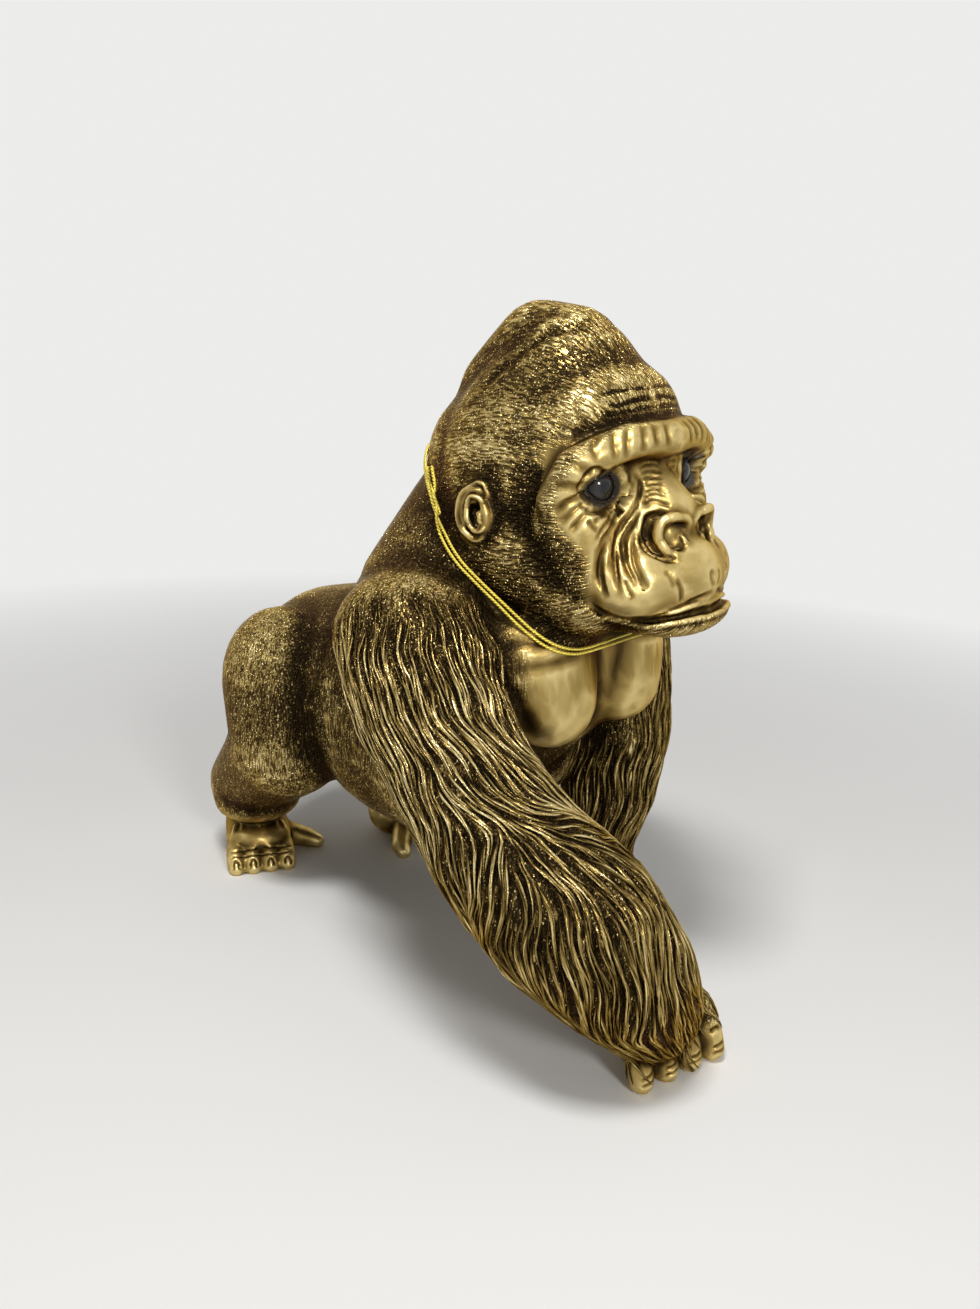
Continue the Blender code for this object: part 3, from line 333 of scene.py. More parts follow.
def press(points, height, path, reach, rise, ends):
    """Adds one crease or ridge along a path to the heights of the skin, fading over its ends."""
    reach = reach * MM
    boxed = (points > path.min(axis=0) - reach) & (points < path.max(axis=0) + reach)
    near = np.nonzero(boxed.all(axis=1))[0]
    if not len(near):
        return
    start = path[:-1]
    step = path[1:] - start
    length = np.linalg.norm(step, axis=1)
    offset = points[near][:, None, :] - start[None]
    share = np.clip((offset * step).sum(axis=2) / np.maximum(length**2, 1e-12), 0, 1)
    distance = np.linalg.norm(offset - share[..., None] * step, axis=2)
    nearest = distance.argmin(axis=1)
    rows = np.arange(len(near))
    along = (np.cumsum(length) - length)[nearest] + share[rows, nearest] * length[nearest]
    along = along / max(length.sum(), 1e-9)
    fade = np.sin(np.clip(np.minimum(along, 1 - along) / max(ends, 1e-6), 0, 1) * math.pi / 2) if ends else 1
    amount = np.clip(1 - (distance[rows, nearest] / reach) ** 2, 0, 1) ** 2 * fade * rise * MM
    pick = np.minimum if rise < 0 else np.maximum
    height[near] = pick(height[near], amount)


def smoothed_path(places, parts=4):
    """A Catmull-Rom curve through the places."""
    ends = np.concatenate([2 * places[:1] - places[1:2], places, 2 * places[-1:] - places[-2:-1]])
    curve = []
    for before, first, second, after in zip(ends, ends[1:], ends[2:], ends[3:]):
        for step in range(parts):
            t = step / parts
            squared = 2 * before - 5 * first + 4 * second - after
            cubed = 3 * first - before - 3 * second + after
            curve.append(0.5 * (2 * first + (second - before) * t + squared * t**2 + cubed * t**3))
    curve.append(places[-1])
    return np.array(curve)


def crease(mesh, groups):
    """Presses groups of lines into the skin. A group is a frame, whether it is mirrored, and its lines."""
    points = read_points(mesh)
    normals = read_normals(mesh)
    tree = skin_tree(mesh)
    height = np.zeros(len(points))
    for matrix, mirrored, lines in groups:
        for reach, rise, ends, places in lines:
            for side in (1, -1) if mirrored else (1,):
                path = smoothed_path(from_frame(matrix, [(side * x, y, z) for x, y, z in places]))
                path = np.array([tree.find_nearest(Vector(place))[0] for place in path])
                press(points, height, path, reach, rise, ends)
    mesh.vertices.foreach_set("co", (points + normals * height[:, None]).astype(np.float32).ravel())
    mesh.update()


def linked(name, data):
    """A new object in the scene, at the origin."""
    made = bpy.data.objects.new(name, data)
    bpy.context.scene.collection.objects.link(made)
    return made


def evaluated(obj):
    """The mesh that an object's modifiers or curve make, which are then cleared."""
    bpy.context.view_layer.update()
    mesh = bpy.data.meshes.new_from_object(obj.evaluated_get(bpy.context.evaluated_depsgraph_get()))
    obj.modifiers.clear()
    return mesh


def soften(obj, group, rounds):
    """Adds a smoothing modifier that acts on one vertex group."""
    smooth = obj.modifiers.new("soften_" + group, "SMOOTH")
    smooth.factor = 0.5
    smooth.iterations = rounds
    smooth.vertex_group = group


def face_reach(places):
    """How far in mm points of the head's frame lie inside the edge of the bare face."""
    return np.where(places[:, 1] < FACE_FRONT, outline_distance(places[:, 0], places[:, 2]), -50)


solid = bmesh.new()
solid.from_mesh(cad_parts["body_casting"].data)
bmesh.ops.remove_doubles(solid, verts=solid.verts, dist=0.00001)
casting_mesh = bpy.data.meshes.new("casting")
solid.to_mesh(casting_mesh)
solid.free()
casting = linked("casting", casting_mesh)
even_faces = casting.modifiers.new("even_faces", "REMESH")
even_faces.mode = "VOXEL"
even_faces.voxel_size = FORM_VOXEL
casting.data = evaluated(casting)

# The coat is softened more than the face and the digits, which have finer forms
points = read_points(casting.data)
head_places = in_frame(HEAD_FRAME, points)
noted_places = in_frame(NOTED_FRAME, points)
at_ears = (np.abs(head_places[:, 0]) > 40) & (head_places[:, 2] < 12)
fine_form = (face_reach(head_places) > -3) | (noted_places[:, 2] < 15) | at_ears
coat = casting.vertex_groups.new(name="coat")
for weight, chosen in ((1, ~fine_form), (0.25, fine_form)):
    coat.add(np.nonzero(chosen)[0].tolist(), weight, "REPLACE")
soften(casting, "coat", COAT_SOFTENING)
shoulders = casting.vertex_groups.new(name="shoulders")
chosen = (noted_places[:, 2] > 147) & (noted_places[:, 2] < 172) & (np.abs(noted_places[:, 0]) > 44)
shoulders.add(np.nonzero(chosen & (np.abs(noted_places[:, 1] + 22) < 40))[0].tolist(), 1, "REPLACE")
soften(casting, "shoulders", SHOULDER_SOFTENING)
casting.data = evaluated(casting)
casting.vertex_groups.clear()

# Twice as many faces where the sculptor's lines are finest, at the face, the ears and the digits, and
# twice as many again round the eyes
worked = bmesh.new()
worked.from_mesh(casting.data)
fine = set(np.nonzero(fine_form)[0].tolist())
edges = [edge for edge in worked.edges if edge.verts[0].index in fine and edge.verts[1].index in fine]
bmesh.ops.subdivide_edges(worked, edges=edges, cuts=1, use_grid_fill=True)
ringed = {
    vertex
    for vertex in worked.verts
    for offset in (vertex.co - centre for centre in eye_places)
    if offset.length < RINGED_REACH and offset.y < 1 * MM
}
edges = [edge for edge in worked.edges if edge.verts[0] in ringed and edge.verts[1] in ringed]
bmesh.ops.subdivide_edges(worked, edges=edges, cuts=1, use_grid_fill=True)
worked.to_mesh(casting.data)
worked.free()
casting.data.update()


def eased(values, low, high):
    """A smooth step from 0 at low to 1 at high."""
    share = np.clip((values - low) / (high - low), 0, 1)
    return share * share * (3 - 2 * share)


def digit_frame(place, turn):
    """The frame of one foot or fist."""
    moved = Matrix.Translation(Vector(place) * MM)
    return NOTED_FRAME @ moved @ Matrix.Rotation(math.radians(turn), 4, "Z")


# The lids: drawn in over each ball to an oval opening, with a rounded edge and two folds round it.
# Each profile pair is a share of the opening's size and a distance from the ball's middle.
LID_HALF_WIDTH, LID_HALF_HEIGHT = 5.5, 4.6
SOCKET_HALF_WIDTH, SOCKET_HALF_HEIGHT = 5.6, 4.6
LID_PROFILE = (
    (0, 6.4), (0.96, 6.45), (1.02, 7.2), (1.08, 7.5), (1.14, 7.3), (1.19, 6.9), (1.26, 7.7), (1.32, 7.6),
    (1.38, 7.1), (1.46, 7.8), (1.54, 7.3), (1.62, 7.7),
)
SOCKET_TURN = 12
LID_TURN = 12


def eye_axes(side, outward):
    """The directions ahead, up and across of one eye, which looks outward by so many degrees."""
    turned = math.radians(outward)
    ahead = np.array(HEAD_TURN @ Vector((side * math.sin(turned), -math.cos(turned), 0)))
    rise = np.array(HEAD_TURN @ Vector((0, 0, 1)))
    return ahead, rise, np.cross(ahead, rise)


def close_lids(mesh, side, centre):
    """Draws the skin round one socket in over its ball."""
    points = read_points(mesh)
    normals = read_normals(mesh)
    ahead, rise, across = eye_axes(side, SOCKET_TURN)
    offset = (points - np.array(centre)) / MM
    u, v, depth = offset @ across, offset @ rise, offset @ ahead
    opening = np.hypot(u / SOCKET_HALF_WIDTH, v / SOCKET_HALF_HEIGHT)
    zone = np.nonzero((depth > 1) & (opening < 2) & (np.linalg.norm(offset, axis=1) < 13))[0]
    u, v, depth, opening = u[zone], v[zone], depth[zone], opening[zone]
    drawn = LID_HALF_WIDTH / SOCKET_HALF_WIDTH
    drawn = drawn + (1 - drawn) * eased(opening, 1, 2)
    placed = np.stack([u * drawn, v * drawn, depth], axis=1)
    placed = placed / np.linalg.norm(placed, axis=1)[:, None]
    turned = np.radians(LID_TURN) * (1 - eased(opening, 1.1, 2)) * (1 if across @ (side, 0, 0) > 0 else -1)
    wide = placed[:, 0] * np.cos(turned) + placed[:, 2] * np.sin(turned)
    deep = placed[:, 2] * np.cos(turned) - placed[:, 0] * np.sin(turned)
    placed = np.stack([wide, placed[:, 1], deep], axis=1)
    before = np.linalg.norm(offset[zone], axis=1)
    inner = (normals[zone] * offset[zone]).sum(axis=1) < 0
    share = np.hypot(u * drawn / LID_HALF_WIDTH, v * drawn / LID_HALF_HEIGHT)
    target = np.interp(share, *zip(*LID_PROFILE))
    target = target + (before - target) * eased(share, 1.4, 1.75)
    target = np.where(inner, np.minimum(before, EYE_RADIUS + 0.1), target)
    placed = placed * target[:, None]
    moved = placed[:, :1] * across + placed[:, 1:2] * rise + placed[:, 2:] * ahead
    points[zone] = np.array(centre) + moved * MM
    mesh.vertices.foreach_set("co", points.astype(np.float32).ravel())
    mesh.update()


close_lids(casting.data, -1, eye_places[0])
close_lids(casting.data, 1, eye_places[1])

feet = [digit_frame(place, turn) for place, turn in FEET]
fists = [digit_frame(place, turn) for place, turn in FISTS]
crest_furrow = (3, -0.35, 0.3, CREST_LINE)
crest_band = (5, 0.9, 0.3, tuple((x * 0.93, y + 1.5, z + 2.6) for x, y, z in CREST_LINE))
sunk = [(HEAD_FRAME, True, (crest_furrow, *BROW_SOFT_FOLDS)), (NOTED_FRAME, False, COLLAR_HOLLOWS)]
crease(casting.data, sunk)
raised = [(HEAD_FRAME, True, (crest_band,)), (NOTED_FRAME, False, COLLAR_RIDGES)]
crease(casting.data, raised + [(foot, False, TENDONS) for foot in feet])
lines = [(HEAD_FRAME, True, EYE_CREASES + CHEEK_CREASES + NOSE_HOLLOWS + BROW_LINES + EAR_HOLLOWS)]
lines += [(foot, False, TOE_LINES) for foot in feet] + [(fist, False, FINGER_LINES) for fist in fists]
crease(casting.data, lines)
crease(casting.data, [(HEAD_FRAME, True, FACE_RIDGES + EAR_RIDGES)])

fewer_faces = casting.modifiers.new("fewer_faces", "DECIMATE")
fewer_faces.ratio = CASTING_TRIANGLES / sum(len(face.vertices) - 2 for face in casting.data.polygons)
fewer_faces.use_collapse_triangulate = True
casting.data = evaluated(casting)


def neighbour_mean(mesh, values, rounds):
    """Values of the skin's points, spread to their neighbours a few times over."""
    edges = np.empty(len(mesh.edges) * 2, dtype=np.int32)
    mesh.edges.foreach_get("vertices", edges)
    first, second = edges.reshape(-1, 2).T
    count = np.bincount(np.concatenate([first, second]), minlength=len(values)).astype(float)[:, None]
    for _ in range(rounds):
        total = np.empty_like(values)
        for axis, column in enumerate(values.T):
            total[:, axis] = np.bincount(first, column[second], len(values))
            total[:, axis] += np.bincount(second, column[first], len(values))
        values = (values + total) / (1 + count)
    return values


def note(mesh, name, values):
    """Stores a number or a vector at each point of a mesh, for its material to read."""
    kind = "FLOAT_VECTOR" if values.ndim == 2 else "FLOAT"
    layer = mesh.attributes.new(name, kind, "POINT")
    layer.data.foreach_set("vector" if values.ndim == 2 else "value", values.astype(np.float32).ravel())


# What the paint follows: how far a point stands out of the skin round it, which paints hollows dark and
# ridges bright, part patina and part painted shade and highlight, and where the skin is bare.
# The head begins above a slope through the neck.
NECK_HEIGHT, NECK_SLOPE = 170.5, 0.78
points = read_points(casting.data)
normals = read_normals(casting.data)
head_places = in_frame(HEAD_FRAME, points)
noted_places = in_frame(NOTED_FRAME, points)
fine_relief = ((points - neighbour_mean(casting.data, points, 4)) * normals).sum(axis=1) / MM
wide_relief = ((points - neighbour_mean(casting.data, points, 30)) * normals).sum(axis=1) / MM
x, y, z = noted_places.T
on_head = eased(z - (NECK_HEIGHT + NECK_SLOPE * (y + 20)), -1, 1)
bare_face = eased(face_reach(head_places), -1, 1.5)
breast = eased(46 - np.abs(x), -3, 6) * eased(-24 - y, -3, 6) * eased(z, 92, 104) * (1 - on_head)
digits = np.where(y > 20, eased(27 - z, -2, 2), eased(14 - z, -3, 3))
ear_reach = np.hypot((head_places[:, 1] - 0.2) / 8.2, (head_places[:, 2] + 1.8) / 11)
ear = eased(1.06 - ear_reach, 0, 0.08) * eased(np.abs(head_places[:, 0]), 41.5, 43)
bare = np.clip(np.maximum.reduce([bare_face, breast, digits, ear]), 0, 1)
note(casting.data, "bare", bare)
from_locks = np.full(len(points), 1.0)
for place in np.concatenate([from_frame(NOTED_FRAME, line) for line in RIGHT_HAIR + LEFT_HAIR]):
    from_locks = np.minimum(from_locks, ((points - place) ** 2).sum(axis=1))
# Painted shade: the casting is painted darker where the locks lie over it, like the shaded gaps between
# strands
painted_shade_under_locks = eased(13 - np.sqrt(from_locks) / MM, 0, 5) * (1 - bare)
painted_shade_under_locks *= eased(z, 13, 17) * eased(-z, -162, -140)
on_crown = (head_places[:, 1] > -26) & (head_places[:, 2] > 22)
fine_share = np.where(on_crown, 1.0, 2.3 - 1.0 * bare)
wide_share = 0.16 - 0.06 * on_head
relief_patina_and_shading = 0.5 + fine_relief * fine_share + wide_relief * wide_share
# Painted highlight: brighter on top-facing surfaces, as light from above would make them. Darker on the
# brow, the breast, the digits, the coat and the low head, and painted shade under the locks
relief_patina_and_shading += 0.07 * normals[:, 2] + bare_face * (0.05 - 0.12 * eased(head_places[:, 2], 10, 17))
relief_patina_and_shading -= 0.22 * breast * (1 - bare_face) + 0.4 * painted_shade_under_locks + 0.17 * digits
relief_patina_and_shading -= 0.19 * (1 - on_head) * (1 - bare)
relief_patina_and_shading -= on_head * (1 - bare_face) * (0.06 + 0.07 * eased(-head_places[:, 2], -36, 0))
note(casting.data, "relief_patina_and_shading", np.clip(relief_patina_and_shading, 0, 1))
lids = np.zeros(len(points))
for side, centre in zip((-1, 1), eye_places):
    ahead, rise, across = eye_axes(side, SOCKET_TURN + LID_TURN)
    offset = (points - np.array(centre)) / MM
    share = np.hypot(offset @ across / LID_HALF_WIDTH, offset @ rise / LID_HALF_HEIGHT)
    near = (offset @ ahead > 0) & (np.abs(offset).max(axis=1) < 12)
    lids = np.maximum(lids, (1 - eased(share, 1.24, 1.42)) * near)
note(casting.data, "lids", lids)
note(casting.data, "head", on_head)
bearing = np.arctan2(head_places[:, 2] + 4, head_places[:, 0])
reach = np.hypot(head_places[:, 0], head_places[:, 2] + 4)
from_face = np.hypot(reach, 45 + head_places[:, 1]) * 0.5 + (45 + head_places[:, 1]) * 0.5
lie_head = np.stack([44 * np.cos(bearing), 44 * np.sin(bearing), 0.25 * from_face], axis=1)
lie_body = noted_places * (1, 0.9, 0.15)
note(casting.data, "lie_head", lie_head)
note(casting.data, "lie_body", lie_body)


def joined(tree, kind, inputs=None, **settings):
    """A shader node with its settings, whose inputs are numbers, colours or other nodes' outputs."""
    node = tree.nodes.new(kind)
    for name, value in settings.items():
        setattr(node, name, value)
    for name, value in (inputs or {}).items():
        socket = node.inputs[name]
        if isinstance(value, bpy.types.NodeSocket):
            tree.links.new(value, socket)
        else:
            socket.default_value = value
    return node


def maths(tree, operation, first, second=0.0, third=0.0):
    """The result of one Math node."""
    return joined(tree, "ShaderNodeMath", {0: first, 1: second, 2: third}, operation=operation).outputs[0]


def read(tree, name, output="Fac"):
    """What the script noted on the mesh under that name."""
    return joined(tree, "ShaderNodeAttribute", attribute_name=name).outputs[output]


def ramp(tree, value, stops):
    """A colour ramp with its own stops: place and colour."""
    node = joined(tree, "ShaderNodeValToRGB", {"Fac": value})
    stop = node.color_ramp.elements
    while len(stop) < len(stops):
        stop.new(0.5)
    for element, (place, colour) in zip(stop, stops):
        element.position = place
        element.color = (*colour, 1)
    return node.outputs["Color"]


# Dark brown in the hollows, part patina and part painted shade, bronze, and then bright gold on the ridges
# as a painted highlight, for the coat and the bare skin
FUR_PAINT_AND_SHADING = (
    (0.0, (0.009, 0.006, 0.003)),
    (0.3, (0.026, 0.016, 0.006)),
    (0.5, (0.085, 0.054, 0.016)),
    (0.7, (0.27, 0.185, 0.055)),
    (0.85, (0.55, 0.41, 0.155)),
    (1.0, (0.92, 0.76, 0.40)),
)
SKIN_PAINT_AND_SHADING = (
    (0.0, (0.028, 0.018, 0.007)),
    (0.25, (0.090, 0.056, 0.016)),
    (0.5, (0.250, 0.168, 0.050)),
    (0.72, (0.40, 0.285, 0.095)),
    (1.0, (0.74, 0.58, 0.25)),
)
LID_BLACK = (0.016, 0.016, 0.018)
COAT_BUMP, LOCK_BUMP = 0.5, 0.16


def texture(tree, kind, place, scale, **inputs):
    """A procedural texture at a place, with its size and its other inputs."""
    sockets = {"Vector": place, "Scale": scale}
    sockets.update({name.replace("_", " ").title(): value for name, value in inputs.items()})
    return joined(tree, "ShaderNodeTex" + kind, sockets)


def steep(tree, value, low, high):
    """A value spread from 0 at low to 1 at high."""
    node = joined(tree, "ShaderNodeMapRange", {"Value": value, "From Min": low, "From Max": high})
    return node.outputs["Result"]


def mixed(tree, share, first, second):
    """A number between two others."""
    return joined(tree, "ShaderNodeMix", {0: share, 2: first, 3: second}, data_type="FLOAT").outputs[0]


def material(name):
    """A new material, its node tree and its shader."""
    made = bpy.data.materials.new(name)
    made.use_nodes = True
    return made, made.node_tree, made.node_tree.nodes["Principled BSDF"]


def bronze(name, locks=False):
    """Antique gold paint, dark in the hollows and bright gold on the ridges, part patina and part painted
    shade and highlight. On locks it also follows each strand.
    """
    made, tree, shader = material(name)
    shader.inputs["Specular Tint"].default_value = (0.72, 0.5, 0.2, 1)
    place = joined(tree, "ShaderNodeTexCoord").outputs["Object"]
    relief_patina_and_shading = read(tree, "relief_patina_and_shading")
    blotches = texture(tree, "Noise", place, 60.0, detail=3.0).outputs["Fac"]
    grain = texture(tree, "Noise", place, 1100.0, detail=2.0).outputs["Fac"]
    tone = maths(tree, "MULTIPLY_ADD", blotches, 0.22, -0.11)
    if locks:
        hair = texture(tree, "Noise", read(tree, "along", "Vector"), 1.0, detail=2.0).outputs["Fac"]
        hair = steep(tree, hair, 0.35, 0.65)
        fur = maths(tree, "ADD", relief_patina_and_shading, tone)
        # Each fine hair is painted lighter along its crest, a painted highlight, besides its bump
        fur = maths(tree, "ADD", maths(tree, "MULTIPLY_ADD", hair, 0.3, 0.1), fur)
        colour = ramp(tree, fur, FUR_PAINT_AND_SHADING)
        height = maths(tree, "ADD", hair, maths(tree, "MULTIPLY", grain, 0.4))
        bump_depth = LOCK_BUMP
        roughness = maths(tree, "MULTIPLY_ADD", grain, 0.2, 0.14)
        shader.inputs["Metallic"].default_value = 0.88
    else:
        bare = read(tree, "bare")
        furred = maths(tree, "SUBTRACT", 1.0, bare)
        strokes = []
        for lie in ("lie_body", "lie_head"):
            line = texture(tree, "Noise", read(tree, lie, "Vector"), 1.5, detail=1.0, distortion=0.3)
            strokes.append(steep(tree, line.outputs["Fac"], 0.36, 0.62))
        stroke = mixed(tree, read(tree, "head"), strokes[0], strokes[1])
        # Flecks: tiny raised specks in the bump, each also painted as a bright glint in the colour
        glint_flecks = texture(tree, "Noise", place, 1500.0, detail=0.0).outputs["Fac"]
        glint_flecks = steep(tree, glint_flecks, 0.66, 0.72)
        # The strokes are painted lighter along their crests and darker between them, part patina and part
        # painted highlight, besides their bump
        fur = maths(tree, "MULTIPLY_ADD", stroke, 0.4, -0.15)
        fur = maths(tree, "ADD", fur, maths(tree, "MULTIPLY", glint_flecks, 0.5))
        fur = maths(tree, "ADD", fur, maths(tree, "MULTIPLY_ADD", relief_patina_and_shading, 0.8, -0.12))
        fur = maths(tree, "ADD", fur, tone)
        skin = maths(tree, "ADD", relief_patina_and_shading, maths(tree, "MULTIPLY", tone, 0.6))
        lids = read(tree, "lids")
        paint = {0: bare, 6: ramp(tree, fur, FUR_PAINT_AND_SHADING), 7: ramp(tree, skin, SKIN_PAINT_AND_SHADING)}
        colour = joined(tree, "ShaderNodeMix", paint, data_type="RGBA").outputs[2]
        paint = {0: lids, 6: colour, 7: (*LID_BLACK, 1)}
        colour = joined(tree, "ShaderNodeMix", paint, data_type="RGBA").outputs[2]
        tree.links.new(maths(tree, "MULTIPLY_ADD", lids, -0.82, 0.82), shader.inputs["Metallic"])
        coat = maths(tree, "ADD", stroke, maths(tree, "MULTIPLY", glint_flecks, 0.6))
        height = maths(tree, "MULTIPLY", furred, coat)
        height = maths(tree, "ADD", height, maths(tree, "MULTIPLY", grain, 0.1))
        bump_depth = COAT_BUMP
        coat_roughness = maths(tree, "MULTIPLY_ADD", grain, 0.2, 0.17)
        skin_roughness = maths(tree, "MULTIPLY_ADD", grain, 0.16, 0.27)
        roughness = mixed(tree, lids, mixed(tree, bare, coat_roughness, skin_roughness), 0.22)
    tree.links.new(colour, shader.inputs["Base Color"])
    tree.links.new(roughness, shader.inputs["Roughness"])
    bump = joined(tree, "ShaderNodeBump", {"Strength": 1.0, "Distance": bump_depth * MM, "Height": height})
    tree.links.new(bump.outputs["Normal"], shader.inputs["Normal"])
    return made


casting.data.materials.append(bronze("bronzed_casting"))
casting.data.shade_smooth()
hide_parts("body_casting")
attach(casting, "root")


# The long locks of both arms, cast in one with them: tapered strands laid over the skin from the
# shoulder to the wrist, each rooted in the skin and turned along the nearest guides.
LOCK_POINTS = 10
LOCK_REACH = 15 * MM
GUIDE_REACH = 3 * MM
AROUND = [(i, j, k) for i in (-1, 0, 1) for j in (-1, 0, 1) for k in (-1, 0, 1)]
casting_tree = skin_tree(casting.data)


def made_mesh(name, curve):
    """A mesh object made from a bevelled curve, which is then removed."""
    holder = linked(name, curve)
    mesh = evaluated(holder)
    bpy.data.objects.remove(holder)
    return linked(name, mesh)


def locks(name, guides, spacing, stride, width, seed, low, high):
    """Strands over one arm, between two heights: roots so far apart, steps so long and so wide."""
    chance = np.random.default_rng(seed)
    skin = read_points(casting.data)
    normal = read_normals(casting.data)
    starts = np.concatenate([from_frame(NOTED_FRAME, line[:-1]) for line in guides])
    ends = np.concatenate([from_frame(NOTED_FRAME, line[1:]) for line in guides])
    middles = (starts + ends) / 2
    lies = (ends - starts) / np.linalg.norm(ends - starts, axis=1)[:, None]
    noted = in_frame(NOTED_FRAME, skin)
    close = np.nonzero((noted[:, 2] > low) & (noted[:, 2] < high))[0]
    far = np.array([((middles - skin[index]) ** 2).sum(axis=1).min() for index in close]) ** 0.5
    close = close[far < LOCK_REACH]
    x, y, z = noted[close].T
    close = close[~((np.abs(x) < 47) & (y < -24) & (z > 88))]
    cells = {}
    curve = bpy.data.curves.new(name, "CURVE")
    curve.dimensions = "3D"
    curve.bevel_depth = 1
    curve.bevel_resolution = 0
    curve.use_fill_caps = True
    for index in chance.permutation(close):
        root = skin[index]
        cell = tuple((root // (spacing * MM)).astype(int))
        near = [cells.get((cell[0] + i, cell[1] + j, cell[2] + k), ()) for i, j, k in AROUND]
        if any(((place - root) ** 2).sum() < (spacing * MM) ** 2 for group in near for place in group):
            continue
        cells.setdefault(cell, []).append(root)
        size = chance.uniform(0.75, 1.25) * (1 - 0.6 * eased(in_frame(NOTED_FRAME, root)[2], 146, 170))
        bend = chance.uniform(-0.14, 0.14)
        place = root
        up = normal[index]
        route = []
        for step in range(LOCK_POINTS):
            share = step / (LOCK_POINTS - 1)
            nearness = 1 / (((middles - place) ** 2).sum(axis=1) + GUIDE_REACH**2) ** 2
            lie = (lies * nearness[:, None]).sum(axis=0)
            side = np.cross(up, lie)
            side = side / max(np.linalg.norm(side), 1e-9)
            wave = math.sin(place @ (180.0, 150.0, 210.0) + bend) * 0.2
            lie = lie / max(np.linalg.norm(lie), 1e-9) + side * (wave + bend * math.sin(share * 5))
            lift = (0.5 * math.sin(min(share * 1.5, 1) * math.pi / 2) - 0.2) * size
            route.append(place + up * lift * MM)
            lie = lie - up * (lie @ up)
            lie = lie / max(np.linalg.norm(lie), 1e-9)
            spot, level, _, _ = casting_tree.find_nearest(Vector(place + lie * stride * MM * size))
            place = np.array(spot)
            up = np.array(level) * 0.6 + up * 0.4
            up = up / np.linalg.norm(up)
        spline = curve.splines.new("POLY")
        spline.points.add(len(route) - 1)
        for number, (point, spot) in enumerate(zip(spline.points, route)):
            share = number / (LOCK_POINTS - 1)
            point.co = (*spot, 1)
            point.radius = width * MM * size * min(1, 0.45 + 2.2 * share) * (1 - share) ** 0.55 + 0.06 * MM
    strands = made_mesh(name, curve)
    points = read_points(strands.data)
    # Painted light on each strand: the higher a point stands over the skin, the brighter it is painted, so
    # the top is a painted highlight and the foot painted shade
    height = np.empty(len(points))
    for number, place in enumerate(points):
        spot, level, _, _ = casting_tree.find_nearest(Vector(place))
        height[number] = (Vector(place) - spot).dot(level) / MM
    note(strands.data, "relief_patina_and_shading", np.clip(height / (1.5 * width) - 0.16, 0, 1))
    ring = np.arange(len(points)) % 4 * math.pi / 2
    step = np.arange(len(points)) // 4
    across = np.cos(ring) * 1.3 + step // LOCK_POINTS * 3.7
    along = np.stack([across, np.sin(ring) * 1.3, step % LOCK_POINTS * 0.5], axis=1)
    note(strands.data, "along", along)
    strands.data.materials.append(bronze(name + "_bronze", locks=True))
    strands.data.shade_smooth()
    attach(strands, "root")


locks("right_upper_locks", RIGHT_HAIR, spacing=2.6, stride=1.8, width=0.5, seed=3, low=88, high=168)
locks("right_lower_locks", RIGHT_HAIR, spacing=3.4, stride=2.6, width=0.72, seed=4, low=20, high=88)
locks("left_locks", LEFT_HAIR, spacing=3.6, stride=2.3, width=0.9, seed=5, low=20, high=158)


# The eyes: glossy charcoal balls set in the sockets behind painted lids, each with a lighter ring round
# a black pupil that looks ahead and a little outward.
EYE_PAINT = (
    (0.0, (0.006, 0.006, 0.006)), (0.28, (0.009, 0.008, 0.008)), (0.42, (0.030, 0.027, 0.024)),
    (0.6, (0.034, 0.031, 0.028)), (0.78, (0.008, 0.008, 0.008)),
)
PAINTED_DEGREES = 60.0
GAZE_OUTWARD, GAZE_UP = 0.22, 0.02


def eye(name, side, centre):
    """One ball, its paint noted by the angle from the pupil."""
    ball = bmesh.new()
    pole = Matrix.Rotation(math.radians(90), 4, "X")
    turn = Matrix.Translation(centre) @ HEAD_TURN.to_4x4() @ pole
    bmesh.ops.create_uvsphere(ball, u_segments=64, v_segments=32, radius=EYE_RADIUS * MM, matrix=turn)
    mesh = bpy.data.meshes.new("finished_" + name)
    ball.to_mesh(mesh)
    ball.free()
    mesh.shade_smooth()
    made, tree, shader = material("gloss_" + name)
    looking = np.array(HEAD_TURN @ Vector((side * GAZE_OUTWARD, -1, GAZE_UP)).normalized())
    ahead = (read_points(mesh) - np.array(centre)) @ looking / (EYE_RADIUS * MM)
    note(mesh, "from_pupil", np.degrees(np.arccos(np.clip(ahead, -1, 1))))
    colour = ramp(tree, maths(tree, "DIVIDE", read(tree, "from_pupil"), PAINTED_DEGREES), EYE_PAINT)
    tree.links.new(colour, shader.inputs["Base Color"])
    shader.inputs["Roughness"].default_value = 0.06
    shader.inputs["Specular IOR Level"].default_value = 0.4
    mesh.materials.append(made)
    obj = linked("finished_" + name, mesh)
    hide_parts(name)
    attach(obj, "root")


eye("eye_right", -1, eye_places[0])
eye("eye_left", 1, eye_places[1])


